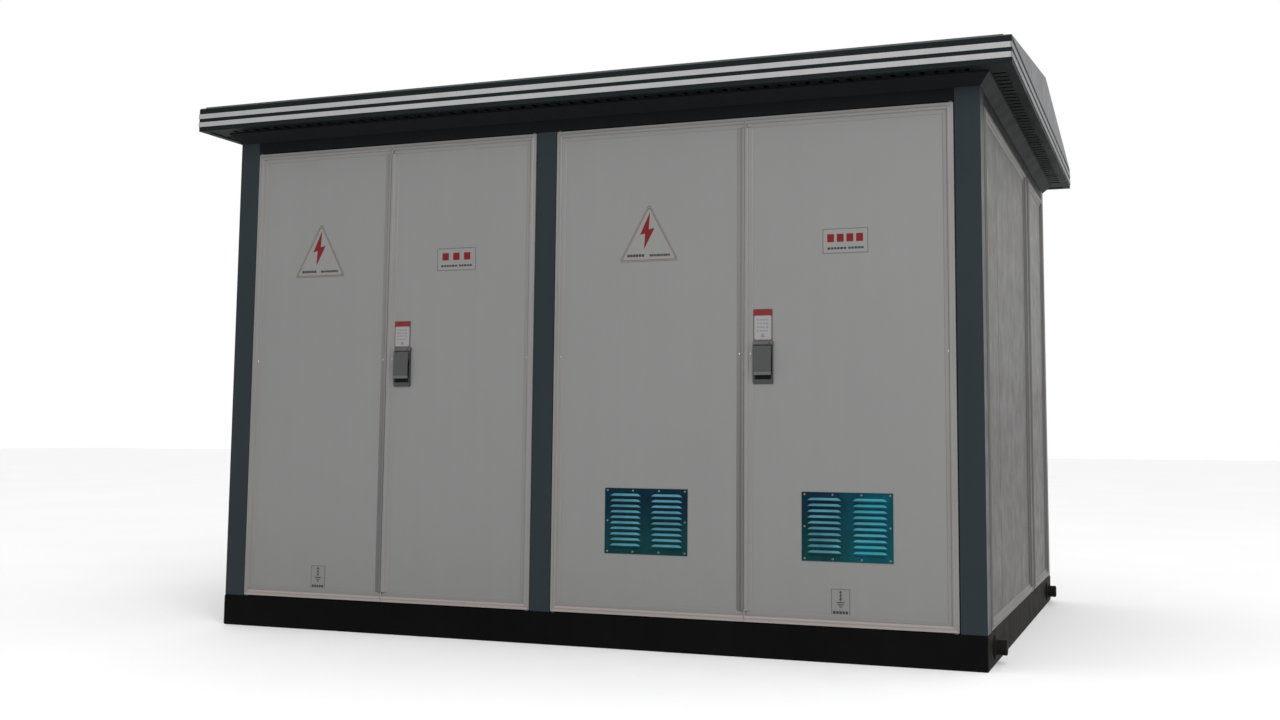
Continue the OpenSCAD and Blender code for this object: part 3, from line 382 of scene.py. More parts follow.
def sill_alloy_highlit(name="trim_alloy_sill_painted_highlight"):
    """Bottom rails: a light pinkish painted highlight on the ridge near the ground; the slope above it matches the
    other rails.
    """
    m = Mat(name)
    lines = m.noise(1.0, 3.0, 0.6, m.mapped((3, 420, 420)))
    f = m.rng(lines, 0.3, 0.7, 0.96, 1.04)
    z0 = LEAVES["tx_trim_r"][2] * 0.001
    fac = m.rng(m.xyz(2), z0 + 0.023, z0 + 0.027, 1.0, 0.0, True)
    col = m.mix(fac, (0.158, 0.153, 0.147), (0.245, 0.217, 0.204))
    return m.done(m.shade(col, f), m.rng(m.noise(12, 3), 0.3, 0.7, 0.34, 0.44), m.bump(lines, 0.08, 0.0003), 0.10, 0.3)


M["vent"] = vent_film_highlit()
M["trim_low"] = sill_alloy_highlit()


def seam_alloy_shaded(name="trim_alloy_seam_painted_shade"):
    """Rail beside the seam on the left-hand leaves: painted shade, duller than the other rails and browner toward the
    ground.
    """
    m = Mat(name)
    lines = m.noise(1.0, 3.0, 0.6, m.mapped((420, 420, 3)))
    f = m.rng(lines, 0.3, 0.7, 0.96, 1.04)
    col = m.mix(m.rng(m.xyz(2), 0.55, 1.75, 1.0, 0.0, True), (0.150, 0.149, 0.145), (0.108, 0.101, 0.097))
    return m.done(m.shade(col, f), m.rng(m.noise(12, 3), 0.3, 0.7, 0.38, 0.50), m.bump(lines, 0.08, 0.0003), 0.06, 0.2)


M["trim_seam"] = seam_alloy_shaded()
M["chequer"] = chequer()
M["brown_glaze"] = ceramic("bushing_brown_glaze", (0.17, 0.055, 0.026))
M["white_glaze"] = ceramic("bushing_white_glaze", (0.62, 0.60, 0.54))
M["copper"] = copper()
M["core"] = paint("core_varnish", (0.12, 0.07, 0.035), 0.5, 0.15, 0.05, 0.3)
M["pvc"] = plastic("cabinet_seal", (0.10, 0.10, 0.105), 0.6, 200, 0.1)

CAD_LOOK = {
    "base_frame": "base", "floor_plates": "chequer", "corner_posts": "slate", "mid_posts": "slate", "top_frame": "beam",
    "earth_tab": "zincx",
    "door_stops": "stop", "pivot_pins": "dim_pin", "side_walls": "side", "side_trims": "trim_v", "partitions": "liner",
    "roof_shell": "roof", "roof_fascia": "fascia", "fascia_stripes": "stripe", "soffit": "soffit", "cove_mould": "soffit",
    "rmu_cabinet": "cabinet", "rmu_front": "front", "hv_cables": "cable", "tx_tank": "tank", "tx_fins": "tank",
    "tx_cover": "tank", "tx_core": "core", "tx_hv_bushings": "brown_glaze", "tx_lv_bushings": "white_glaze",
    "tx_gauges": "zincx", "lv_cabinet": "cabinet", "lv_front": "front", "busbars": "copper", "tx_tap_knob": "black",
    "rmu_lever_a": "black", "rmu_lever_b": "black", "lv_main_handle": "redp", "rear_handle_a": "lock", "rear_handle_b": "lock",
    "lifting_trunnions": "base",
}
for name, ob in NODES.items():
    look = CAD_LOOK.get(name)
    if look is None:
        look = ("trim_v" if "trim" in name else "vent" if "vent" in name else "panel" if "leaf" in name
                else "steel" if ("spindle" in name or "rod" in name) else "lock")
    if ob.material_slots:
        for s in ob.material_slots:
            s.material = M[look]
    else:
        ob.data.materials.append(M[look])


# ------------------------------------------------------------------ mesh builder, in millimetres
FACING = {
    "y-": (Vector((1, 0, 0)), Vector((0, 0, 1)), Vector((0, -1, 0))),
    "y+": (Vector((-1, 0, 0)), Vector((0, 0, 1)), Vector((0, 1, 0))),
    "x+": (Vector((0, 1, 0)), Vector((0, 0, 1)), Vector((1, 0, 0))),
    "x-": (Vector((0, -1, 0)), Vector((0, 0, 1)), Vector((-1, 0, 0))),
    "z+": (Vector((1, 0, 0)), Vector((0, 1, 0)), Vector((0, 0, 1))),
    "z-": (Vector((1, 0, 0)), Vector((0, -1, 0)), Vector((0, 0, -1))),
}


class Piece:
    def __init__(self, name, body, slot=None, stands_for=()):
        self.name, self.body, self.slot, self.stands_for = name, body, slot, stands_for
        self.v, self.f, self.fm, self.mats = [], [], [], []

    def mi(self, mat):
        if mat not in self.mats:
            self.mats.append(mat)
        return self.mats.index(mat)

    def add(self, verts, faces, mat):
        o, k = len(self.v), self.mi(mat)
        self.v.extend(tuple(p) for p in verts)
        for f in faces:
            self.f.append([i + o for i in f])
            self.fm.append(k)

    def take(self, bm, mat):
        bm.verts.index_update()
        self.add([v.co[:] for v in bm.verts], [[v.index for v in f.verts] for f in bm.faces], mat)
        bm.free()

    def box(self, a, b, mat, r=1.0, seg=2):
        lo = [min(p, q) for p, q in zip(a, b)]
        hi = [max(p, q) for p, q in zip(a, b)]
        r = min(r, 0.45 * min(h - l for h, l in zip(hi, lo)))
        bm = bmesh.new()
        bmesh.ops.create_cube(bm, size=1.0)
        for v in bm.verts:
            v.co = Vector([(h + l) / 2 + c * (h - l) for c, h, l in zip(v.co, hi, lo)])
        if r > 0.02:
            bmesh.ops.bevel(bm, geom=bm.edges[:], offset=r, segments=seg, profile=0.5, affect="EDGES", clamp_overlap=True)
        self.take(bm, mat)

    def lathe(self, at, facing, prof, mat, n=32):
        """prof: (radius, distance along the facing) pairs; ends on the axis or gets capped."""
        u, v, w = FACING[facing]
        at = Vector(at)
        verts, rows = [], []
        for r, h in prof:
            if r < 1e-6:
                rows.append([len(verts)])
                verts.append(at + w * h)
            else:
                rows.append(list(range(len(verts), len(verts) + n)))
                for i in range(n):
                    t = 2 * math.pi * i / n
                    verts.append(at + u * (r * math.cos(t)) + v * (r * math.sin(t)) + w * h)
        faces = []
        for a, b in zip(rows, rows[1:]):
            for i in range(n):
                j = (i + 1) % n
                if len(a) == 1 and len(b) > 1:
                    faces.append([a[0], b[i], b[j]])
                elif len(b) == 1 and len(a) > 1:
                    faces.append([a[i], b[0], a[j]])
                elif len(a) > 1:
                    faces.append([a[i], b[i], b[j], a[j]])
        if len(rows[0]) > 1:
            faces.append(rows[0][::-1])
        if len(rows[-1]) > 1:
            faces.append(rows[-1])
        self.add(verts, faces, mat)

    def cyl(self, at, facing, r, h, mat, n=28, bev=0.6):
        bev = min(bev, r * 0.4, abs(h) * 0.4)
        self.lathe(at, facing, [(0, 0), (r - bev, 0), (r, bev), (r, h - bev), (r - bev, h), (0, h)], mat, n)

    def plate(self, at, facing, pts, t, mat, bev=0.0, seg=1):
        """pts in the facing's own (across, up) plane, extruded outwards by t."""
        u, v, w = FACING[facing]
        at = Vector(at)
        if bev > 0:
            bm = bmesh.new()
            vs = [bm.verts.new(at + u * p[0] + v * p[1]) for p in pts]
            f = bm.faces.new(vs)
            r = bmesh.ops.extrude_face_region(bm, geom=[f])
            top = [e for e in r["geom"] if isinstance(e, bmesh.types.BMVert)]
            bmesh.ops.translate(bm, verts=top, vec=w * t)
            topset = set(top)
            edges = [e for e in bm.edges if e.verts[0] in topset and e.verts[1] in topset]
            bmesh.ops.bevel(bm, geom=edges, offset=bev, segments=seg, profile=0.5, affect="EDGES", clamp_overlap=True)
            self.take(bm, mat)
            return
        n = len(pts)
        verts = [at + u * p[0] + v * p[1] for p in pts] + [at + u * p[0] + v * p[1] + w * t for p in pts]
        faces = [list(range(n))[::-1], list(range(n, 2 * n))]
        faces += [[i, (i + 1) % n, n + (i + 1) % n, n + i] for i in range(n)]
        self.add(verts, faces, mat)

    def ring_plate(self, at, facing, outer, inner, t, mat):
        """A flat band between two outlines with the same number of points."""
        u, v, w = FACING[facing]
        at = Vector(at)
        n = len(outer)
        verts = []
        for h in (0, t):
            verts += [at + u * p[0] + v * p[1] + w * h for p in outer]
            verts += [at + u * p[0] + v * p[1] + w * h for p in inner]
        faces = []
        for i in range(n):
            j = (i + 1) % n
            faces += [[i, j, n + j, n + i], [2 * n + i, 3 * n + i, 3 * n + j, 2 * n + j],
                      [i, 2 * n + i, 2 * n + j, j], [n + i, n + j, 3 * n + j, 3 * n + i]]
        self.add(verts, faces, mat)

    def holed(self, at, facing, xs, zs, hole, t, mat):
        """A sheet cut along the lines xs, zs, with the cells where hole(i, j) left out. One closed solid."""
        u, v, w = FACING[facing]
        at = Vector(at)
        idx, verts, faces = {}, [], []

        def vert(i, j, k):
            if (i, j, k) not in idx:
                idx[i, j, k] = len(verts)
                verts.append(at + u * xs[i] + v * zs[j] + w * (t * k))
            return idx[i, j, k]

        nx, nz = len(xs) - 1, len(zs) - 1
        solid = {(i, j): not hole(i, j) for i in range(nx) for j in range(nz)}
        for (i, j), s in solid.items():
            if not s:
                continue
            faces.append([vert(i, j, 1), vert(i + 1, j, 1), vert(i + 1, j + 1, 1), vert(i, j + 1, 1)])
            faces.append([vert(i, j + 1, 0), vert(i + 1, j + 1, 0), vert(i + 1, j, 0), vert(i, j, 0)])
            for di, dj, p, q in ((-1, 0, (i, j), (i, j + 1)), (1, 0, (i + 1, j + 1), (i + 1, j)),
                                 (0, -1, (i + 1, j), (i, j)), (0, 1, (i, j + 1), (i + 1, j + 1))):
                if not solid.get((i + di, j + dj), False):
                    faces.append([vert(*p, 0), vert(*q, 0), vert(*q, 1), vert(*p, 1)])
        self.add(verts, faces, mat)

    def rail_ring(self, facing, origin, w, h, prof, mats, gap=0.35):
        """Four mitred rails round a w x h opening. prof: (inwards, depth behind the front), a closed outline."""
        u, v, n = FACING[facing]
        o = Vector(origin)
        runs = [
            (lambda p: (p + gap, p), lambda p: (w - p - gap, p), mats[1]),
            (lambda p: (w - p, p + gap), lambda p: (w - p, h - p - gap), mats[0]),
            (lambda p: (w - p - gap, h - p), lambda p: (p + gap, h - p), mats[1]),
            (lambda p: (p, h - p - gap), lambda p: (p, p + gap), mats[0]),
        ]
        k = len(prof)
        for start, end, mat in runs:
            verts = []
            for fn in (start, end):
                for p, d in prof:
                    a, b = fn(p)
                    verts.append(o + u * a + v * b - n * d)
            faces = [[i, (i + 1) % k, k + (i + 1) % k, k + i] for i in range(k)]
            faces += [list(range(k))[::-1], list(range(k, 2 * k))]
            self.add(verts, faces, mat)

    def screw(self, at, facing, r, mat, h=None, dark=None, turn=0.0):
        """Pan-head screw with a cross recess."""
        h = h or r * 0.55
        self.lathe(at, facing, [(0, 0), (r, 0), (r, h * 0.25), (r * 0.93, h * 0.55), (r * 0.72, h * 0.85), (r * 0.4, h), (0, h)],
                   mat, 18)
        u, v, w = FACING[facing]
        at = Vector(at)
        c, s = math.cos(turn), math.sin(turn)
        for a in (0, 1):
            d = u * c + v * s if a == 0 else v * c - u * s
            e = v * c - u * s if a == 0 else u * c + v * s
            L, B = r * 0.62, r * 0.13
            pts = [at + d * (L * i) + e * (B * j) + w * (h * k) for i, j in ((-1, -1), (1, -1), (1, 1), (-1, 1)) for k in (0.9,)]
            pts += [p + w * (h * 0.14) for p in pts]
            self.add(pts, [[3, 2, 1, 0], [4, 5, 6, 7], [0, 1, 5, 4], [1, 2, 6, 5], [2, 3, 7, 6], [3, 0, 4, 7]], dark or M["ink"])

    def bolt(self, at, facing, r, mat, h=None):
        """Hexagon head on a washer."""
        h = h or r * 0.8
        self.cyl(at, facing, r * 1.45, r * 0.22, mat, 24, 0.2)
        u, v, w = FACING[facing]
        at = Vector(at) + w * (r * 0.22)
        pts = [(r * math.cos(math.pi * i / 3), r * math.sin(math.pi * i / 3)) for i in range(6)]
        self.plate(at, facing, pts, h, mat, r * 0.12)

    def tube(self, path, r, mat, n=12):
        """Round bar along points, capped."""
        pts = [Vector(p) for p in path]
        verts, faces = [], []
        up = None
        for i, p in enumerate(pts):
            d = (pts[min(i + 1, len(pts) - 1)] - pts[max(i - 1, 0)]).normalized()
            if up is None:
                up = Vector((0, 0, 1)) if abs(d.z) < 0.9 else Vector((1, 0, 0))
            side = d.cross(up).normalized()
            up = side.cross(d).normalized()
            for k in range(n):
                t = 2 * math.pi * k / n
                verts.append(p + side * (r * math.cos(t)) + up * (r * math.sin(t)))
        for i in range(len(pts) - 1):
            for k in range(n):
                j = (k + 1) % n
                faces.append([i * n + k, i * n + j, (i + 1) * n + j, (i + 1) * n + k])
        faces.append(list(range(n))[::-1])
        faces.append(list(range((len(pts) - 1) * n, len(pts) * n)))
        self.add(verts, faces, mat)

    def done(self):
        me = bpy.data.meshes.new(self.name)
        bm = bmesh.new()
        bv = [bm.verts.new((x * 0.001, y * 0.001, z * 0.001)) for x, y, z in self.v]
        for f, k in zip(self.f, self.fm):
            try:
                face = bm.faces.new([bv[i] for i in f])
            except ValueError:
                continue
            face.material_index = k
            face.smooth = True
        bmesh.ops.recalc_face_normals(bm, faces=bm.faces[:])
        bm.to_mesh(me)
        bm.free()
        me.set_sharp_from_angle(angle=math.radians(50))
        for m in self.mats:
            me.materials.append(m)
        ob = bpy.data.objects.new(self.name, me)
        bpy.context.scene.collection.objects.link(ob)
        wn = ob.modifiers.new("weighted", "WEIGHTED_NORMAL")
        wn.keep_sharp = True
        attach(ob, self.body)
        if self.stands_for:
            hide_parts(*self.stands_for)
        return ob


def soften(node, width, seg=2, angle=35):
    """Rounded edges on a CAD node, by modifiers only."""
    ob = NODES[node]
    w = ob.modifiers.new("weld", "WELD")
    w.merge_threshold = 0.00002
    b = ob.modifiers.new("bevel", "BEVEL")
    b.width = width * 0.001
    b.segments = seg
    b.limit_method = "ANGLE"
    b.angle_limit = math.radians(angle)
    b.use_clamp_overlap = True
    b.harden_normals = True
    b.miter_outer = "MITER_ARC"
    return ob


def arc_corners(pts, r, n=5):
    """A closed outline with each corner rounded."""
    out = []
    k = len(pts)
    for i in range(k):
        p0, p, p1 = (Vector(pts[(i - 1) % k]), Vector(pts[i]), Vector(pts[(i + 1) % k]))
        a, b = (p0 - p).normalized(), (p1 - p).normalized()
        half = a.angle(b) / 2
        cut = r / math.tan(half)
        c = p + (a + b).normalized() * (r / math.sin(half))
        s, e = p + a * cut - c, p + b * cut - c
        ang0 = math.atan2(s.y, s.x)
        d = math.atan2(e.y, e.x) - ang0
        while d > math.pi:
            d -= 2 * math.pi
        while d < -math.pi:
            d += 2 * math.pi
        for j in range(n + 1):
            t = ang0 + d * j / n
            out.append((c.x + r * math.cos(t), c.y + r * math.sin(t)))
    return out


def rect(x0, z0, x1, z1, r=0.0, n=4):
    pts = [(x0, z0), (x1, z0), (x1, z1), (x0, z1)]
    return arc_corners(pts, r, n) if r else pts


# ------------------------------------------------------------------ trims: alloy rails with a bead and a channel
RAIL_A = [(0.0, 40.0), (0.0, 5.0), (0.8, 4.2), (3.0, 4.0), (11.0, 4.0), (13.0, 3.0), (14.5, 1.2), (17.0, 0.3), (20.0, 0.0), (23.0, 0.3),
          (25.5, 1.4), (27.5, 4.0), (29.0, 7.0), (31.0, 8.2), (38.0, 8.6), (42.0, 9.2), (44.3, 10.2), (45.0, 11.4), (45.0, 40.0)]
RAIL_B = [(0.0, 40.0), (0.0, 1.6), (0.6, 0.6), (2.0, 0.1), (5.0, 0.0), (8.0, 0.2), (11.0, 1.0), (13.5, 3.0), (15.5, 6.2), (17.5, 8.0),
          (19.0, 8.4), (27.0, 8.8), (30.5, 9.3), (32.3, 10.3), (33.0, 11.4), (33.0, 40.0)]
TW, SW = 45.0, 33.0
SCREW_Z = 1255.0


def leaf_rails(p, facing, edge, front, z0, w, h, hinge_left, lip, mv, mh):
    """Rails of one leaf: mitred at the hinge side, the seam rail between the top and bottom rails."""
    u, v, n = FACING[facing]

    def at(a, b, d):
        a = a if hinge_left else w - a
        return Vector(edge) + u * a + v * b - n * d

    g = 0.3
    runs = [
        (RAIL_A, lambda q: (q + g, q), lambda q: (w, q), M["trim_low"]),
        (RAIL_A, lambda q: (q + g, h - q), lambda q: (w, h - q), mh),
        (RAIL_A, lambda q: (q, q + g), lambda q: (q, h - q - g), mv),
        (RAIL_B, lambda q: (w - q, TW + g), lambda q: (w - q, h - TW - g), mv if lip else M["trim_seam"]),
    ]
    for prof, s0, s1, mat in runs:
        k = len(prof)
        verts = [at(*fn(q), d) for fn in (s0, s1) for q, d in prof]
        faces = [[i, (i + 1) % k, k + (i + 1) % k, k + i] for i in range(k)]
        faces += [list(range(k))[::-1], list(range(k, 2 * k))]
        p.add(verts, faces, mat)
    if lip:
        # strip that closes the seam between the two leaves, in a lighter alloy as painted highlight
        verts = [at(a, b, d) for a in (w - 0.5, w + 3.0) for b in (1.0, h - 1.0) for d in (3.2, 8.0)]
        p.add(verts, [[0, 1, 3, 2], [4, 6, 7, 5], [0, 4, 5, 1], [2, 3, 7, 6], [0, 2, 6, 4], [1, 5, 7, 3]], M["trim_lip"])


def panel_bead(p, facing, edge, front_to_panel, w, h, left, right, mats):
    """Line of sealant where a panel meets its rails."""
    u, v, n = FACING[facing]
    o = Vector(edge) + u * left + v * TW - n * front_to_panel
    p.rail_ring(facing, o, w - left - right, h - 2 * TW,
                [(-0.6, 0.6), (-0.6, -1.4), (0.4, -1.2), (1.2, -0.5), (1.6, 0.6)], mats, 0.0)


for key, body in (("hv_trim_l", "hv_door_l"), ("hv_trim_r", "hv_door_r"), ("tx_trim_l", "tx_door_l"), ("tx_trim_r", "tx_door_r")):
    x0, x1, z0, z1 = LEAVES[key]
    left = key.endswith("_l")
    if not left:
        x0 += 3.0                                # the CAD box of this trim includes its lip
    w, h = x1 - x0, z1 - z0
    p = Piece("rails_" + key[:2] + key[-2:], body, "trim_alu", (key,))
    leaf_rails(p, "y-", (x0, FY, z0), FY, z0, w, h, left, not left, M["trim_v"], M["trim_h"])
    panel_bead(p, "y-", (x0, FY, z0), PROUD, w, h, TW if left else SW, SW if left else TW, (M["trim_v"], M["trim_h"]))
    for x, hinge in ((x0 + 31, True), (x1 - 22, False)) if left else ((x0 + 22, False), (x1 - 31, True)):
        for z in (SCREW_Z, z0 + 330, z1 - 330):
            big = z == SCREW_Z
            p.screw((x, FY + (8.6 if hinge else 8.9), z), "y-", 4.3 if big else 2.6, M["steel"] if big else M["trim_v"], 2.6 if big else 1.2,
                    turn=random.uniform(0, 1.5))
    p.done()

p = Piece("rails_side", "housing", "trim_alu", ("side_trims",))
for s, facing in ((1, "x+"), (-1, "x-")):
    for y0, y1 in ((-1191, 343), (449, 1191)):
        start = y0 if s > 0 else y1
        p.rail_ring(facing, (s * SIDE_X, start, 144), y1 - y0, 2270 - 144, RAIL_A, (M["trim_s"], M["trim_hy"]))
        for y in (y0 + 31, y1 - 31):
            for z in (470, SCREW_Z, 1940):
                p.screw((s * (SIDE_X - 8.6), y, z), facing, 3.8, M["dim"], 2.2, turn=random.uniform(0, 1.5))
p.done()

# ------------------------------------------------------------------ louvre plates
def hood(p, cx, z, y, width, height, proud, mat, nx=14, nt=8, skin=0.9):
    """One pressed louvre: rounded, tapered at both ends, open along its lower edge."""
    xs = []
    for i in range(nx + 1):
        t = i / nx
        xs.append(-width / 2 + width * (t * 0.5 + 0.5 * (0.5 - 0.5 * math.cos(math.pi * t))))
    outer, inner = [], []
    for x in xs:
        e = min(1.0, (width / 2 - abs(x)) / (width * 0.13))
        s = (0.35 * e + 0.65 * math.sin(e * math.pi / 2)) if e > 0 else 0.0
        for shell, sk in ((outer, 0.0), (inner, skin)):
            row = []
            for j in range(nt + 1):
                a = j / nt
                # short upright lip, then the slope back to the plate, shorter towards both ends
                lip = 0.375
                out = proud * s * (1 - 0.08 * a / lip if a < lip else 0.92 * (1 - ((a - lip) / (1 - lip)) ** 1.1))
                out = max(0.0, out - sk)
                zz = height * (0.02 + 0.98 * a * (0.42 + 0.58 * s)) - (sk * 0.6 if a > 0.05 else 0)
                row.append(Vector((cx + x, y - out, z + zz)))
            shell.append(row)
    n1 = nt + 1
    verts = [v for row in outer for v in row] + [v for row in inner for v in row]
    off = len(outer) * n1
    faces = []
    for i in range(nx):
        for j in range(nt):
            a, b = i * n1 + j, (i + 1) * n1 + j
            faces.append([a, b, b + 1, a + 1])
            faces.append([off + a + 1, off + b + 1, off + b, off + a])
        a, b = i * n1, (i + 1) * n1
        faces.append([off + a, off + b, b, a])
        a, b = i * n1 + nt, (i + 1) * n1 + nt
        faces.append([a, b, off + b, off + a])
    for i in (0, nx):
        for j in range(nt):
            a = i * n1 + j
            q = [a, a + 1, off + a + 1, off + a]
            faces.append(q if i == 0 else q[::-1])
    p.add(verts, faces, mat)


for k, body in (("l", "tx_door_l"), ("r", "tx_door_r")):
    cx, z0, z1, w = VENTS[k]
    h = z1 - z0
    p = Piece("louvre_plate_" + k, body, "vent_teal", ("tx_vent_" + k,))
    pitch, rows = 23.6, 10
    xs = sorted({-w / 2, w / 2, -95 - 66, -95 + 66, 95 - 66, 95 + 66})
    zs = [0.0]
    for i in range(rows):
        zs += [29.5 + pitch * i, 29.5 + pitch * i + 8.5]
    zs.append(h)
    p.holed((cx, PY - 0.2, z0), "y-", xs, zs, lambda i, j: i in (1, 3) and j % 2 == 1, 1.8, M["vent"])
    # folded edge all round the plate
    p.ring_plate((cx, PY - 1.9, z0), "y-", rect(-w / 2 + 0.4, 0.4, w / 2 - 0.4, h - 0.4), rect(-w / 2 + 4, 4, w / 2 - 4, h - 4), 1.0, M["vent"])
    for c in (-95, 95):
        for i in range(rows):
            hood(p, cx + c, z0 + 29 + pitch * i, PY - 2.0, 142, 15.5, 9.4, M["vent"])
    for x in (-w / 2 + 12, -60, 60, w / 2 - 12):
        for z in (10, h - 10):
            p.screw((cx + x, PY - 2.0, z0 + z), "y-", 4.4, M["dim"], 2.6, turn=random.uniform(0, 1.5))
    for x in (-w / 2 + 12, w / 2 - 12):
        p.screw((cx + x, PY - 2.0, z0 + h / 2), "y-", 4.4, M["dim"], 2.6, turn=random.uniform(0, 1.5))
    # insect mesh behind the slots
    for i in range(-28, 29):
        p.tube([(cx + i * 6, PY + 5, z0 + 16), (cx + i * 6, PY + 5, z1 - 16)], 0.7, M["stop"], 5)
    p.done()


# ------------------------------------------------------------------ rod locks
def prof_bar(p, x0, x1, z, prof, mat, n=3):
    """A bar along X from a (height, depth) outline, its ends drawn in a little."""
    verts, k = [], len(prof)
    c = (sum(q[0] for q in prof) / k, sum(q[1] for q in prof) / k)
    steps = [(x0, 0.93), (x0 + 0.5, 0.975), (x0 + 1.4, 1.0), (x1 - 1.4, 1.0), (x1 - 0.5, 0.975), (x1, 0.93)]
    for x, sc in steps:
        for a, b in prof:
            bb = b if b > -1 else c[1] + (b - c[1]) * sc
            verts.append((x, PY + bb, z + c[0] + (a - c[0]) * sc))
    faces = []
    for r in range(len(steps) - 1):
        for i in range(k):
            j = (i + 1) % k
            faces.append([r * k + i, r * k + j, (r + 1) * k + j, (r + 1) * k + i])
    faces += [list(range(k))[::-1], list(range((len(steps) - 1) * k, len(steps) * k))]
    p.add(verts, faces, mat)


for k, body in (("a", "hv_door_r"), ("b", "tx_door_r")):
    lx, z0, z1 = LOCKS[k]
    p = Piece("lock_case_" + k, body, "lock_zinc", ("lock_%s_plate" % k,))
    # base plate with the finger pocket left open
    xs = [-42.5, -35, 35, 42.5]
    zs = [0, 18, 47, z1 - z0]
    p.holed((lx, PY, z0), "y-", xs, zs, lambda i, j: i == 1 and j == 1, 5.4, M["lock_edge"])
    # dished pocket behind the handle's lip; its near-black enamel is painted shade
    cols, deep = 13, 9
    verts, faces = [], []
    for j in range(deep):
        b = j / (deep - 1)
        for i in range(cols):
            a = -1 + 2 * i / (cols - 1)
            z = z0 + 18 - 0.5 + 30.0 * b
            sag = (1 - abs(a) ** 3) * math.sin(math.pi * min(1.0, 0.12 + b * 0.9)) ** 0.6
            verts.append((lx + 35.4 * a, PY - 1.0 + 0.0 - 3.6 * (1 - sag), z))
    nback = len(verts)
    verts += [(x, PY + 0.8, z) for x, y, z in verts]
    for j in range(deep - 1):
        for i in range(cols - 1):
            q = j * cols + i
            faces.append([q, q + 1, q + cols + 1, q + cols])
            faces.append([nback + q + cols, nback + q + cols + 1, nback + q + 1, nback + q])
    rim = [i for i in range(cols)] + [j * cols + cols - 1 for j in range(1, deep)] + \
          [(deep - 1) * cols + i for i in range(cols - 2, -1, -1)] + [j * cols for j in range(deep - 2, 0, -1)]
    for a, b in zip(rim, rim[1:] + rim[:1]):
        faces.append([b, a, nback + a, nback + b])
    p.add(verts, faces, M["pocket"])
    # cap above, rim below and two cheeks, all behind the plane that the handle turns in
    cap = [(0, 0), (0, -8.6), (2.0, -10.6), (14.0, -10.6), (15.6, -9.0), (16.0, -5), (16.0, 0)]
    prof_bar(p, lx - 42.5, lx + 42.5, z1 - 16.0, cap, M["lock_cap"])
    rimp = [(0, 0), (0, -4.6), (1.6, -7.0), (10.0, -8.0), (14.2, -9.8), (16.4, -10.6), (18.2, -10.0), (18.4, -4.0), (18.4, 0)]
    prof_bar(p, lx - 42.5, lx + 42.5, z0, rimp, M["lock_edge"])
    for x in (-42.4, 38.9):
        p.plate((lx, PY - 5.0, z0), "y-", rect(x, 15, x + 3.5, z1 - z0 - 16), 5.5, M["lock_edge"], 0.8, 2)
    # key barrel in the cap
    p.lathe((lx + 27, PY - 10.4, z1 - 8.0), "y-", [(0, 0), (4.6, 0), (4.6, 0.35), (4.2, 0.45), (0, 0.45)], M["lock_edge"], 24)
    p.box((lx + 26.4, PY - 11.0, z1 - 10.5), (lx + 27.6, PY - 10.7, z1 - 5.5), M["black"], 0.1)
    # sleeve through the leaf
    p.lathe((lx, PY + 1, LOCK_Z), "y+", [(9.2, 0), (12, 0), (12, 33), (9.2, 33), (9.2, 0)], M["steel"], 32)
    p.screw((lx, PY - 7.5, z0 + 6.5), "y-", 2.6, M["lock_cap"], 1.2, turn=0.5)
    p.done()

    g = Piece("lock_handle_" + k, "grip_" + k, "lock_zinc", ("lock_%s_handle" % k,))
    ax_z, ax_y = LOCK_Z + 12.5, PY - 16.5
    # face plate, gently crowned, over the two cheeks
    cols = 9
    rows_z = [1166.0, 1168, 1172, 1178, 1200, 1225, 1250, 1272, 1283, 1286.5]
    verts, faces = [], []
    nx_, nz_ = cols, len(rows_z)
    for layer, back in ((0, False), (1, True)):
        for j, z in enumerate(rows_z):
            for i in range(cols):
                x = -38.2 + 76.4 * i / (cols - 1)
                crown = 0.5 * (1 - (x / 38.2) ** 2)
                edge = 1.0 if i in (0, cols - 1) or j in (0, nz_ - 1) else 0.0
                y = PY - 23.2 - crown + edge * 0.9
                if back:
                    y = PY - 22.2
                verts.append((lx + x, y, z))
    k0 = nx_ * nz_
    for j in range(nz_ - 1):
        for i in range(nx_ - 1):
            a = j * nx_ + i
            faces.append([a, a + 1, a + nx_ + 1, a + nx_])
            faces.append([k0 + a + nx_, k0 + a + nx_ + 1, k0 + a + 1, k0 + a])
    for i in range(nx_ - 1):
        faces.append([k0 + i, k0 + i + 1, i + 1, i])
        t = (nz_ - 1) * nx_ + i
        faces.append([t, t + 1, k0 + t + 1, k0 + t])
    for j in range(nz_ - 1):
        a, b = j * nx_, (j + 1) * nx_
        faces.append([a, b, k0 + b, k0 + a])
        a, b = a + nx_ - 1, b + nx_ - 1
        faces.append([k0 + a, k0 + b, b, a])
    g.add(verts, faces, M["lock"])
    # cheeks and body behind the face, open for the spindle's head
    for x0_, x1_ in ((-37.5, -12.7), (12.7, 37.5)):
        g.box((lx + x0_, PY - 22.4, 1166), (lx + x1_, PY - 11.2, ax_z + 3), M["lock"], 1.6, 3)
    g.box((lx - 37.5, PY - 22.4, 1166), (lx + 37.5, PY - 11.2, 1254), M["lock"], 1.6, 3)
    # the lip that the fingers pull, in a lighter enamel as painted highlight
    g.box((lx - 37.8, PY - 26.4, 1164.5), (lx + 37.8, PY - 11.4, 1178.5), M["lock_lip"], 3.6, 4)
    # hinge knuckles
    for x0_, x1_ in ((-38, -13), (13, 38)):
        g.lathe((lx + x0_, ax_y, ax_z), "x+", [(2.6, 0), (5.0, 0), (5.5, 0.5), (5.5, 24.5), (5.0, 25), (2.6, 25), (2.6, 0)], M["lock"], 24)
    g.done()


# ------------------------------------------------------------------ signs and cards, all with generic marks
def layer(k):
    """Distance in front of the panel of a sign's k-th layer."""
    return PY - 0.05 - 0.7 - 0.18 * k


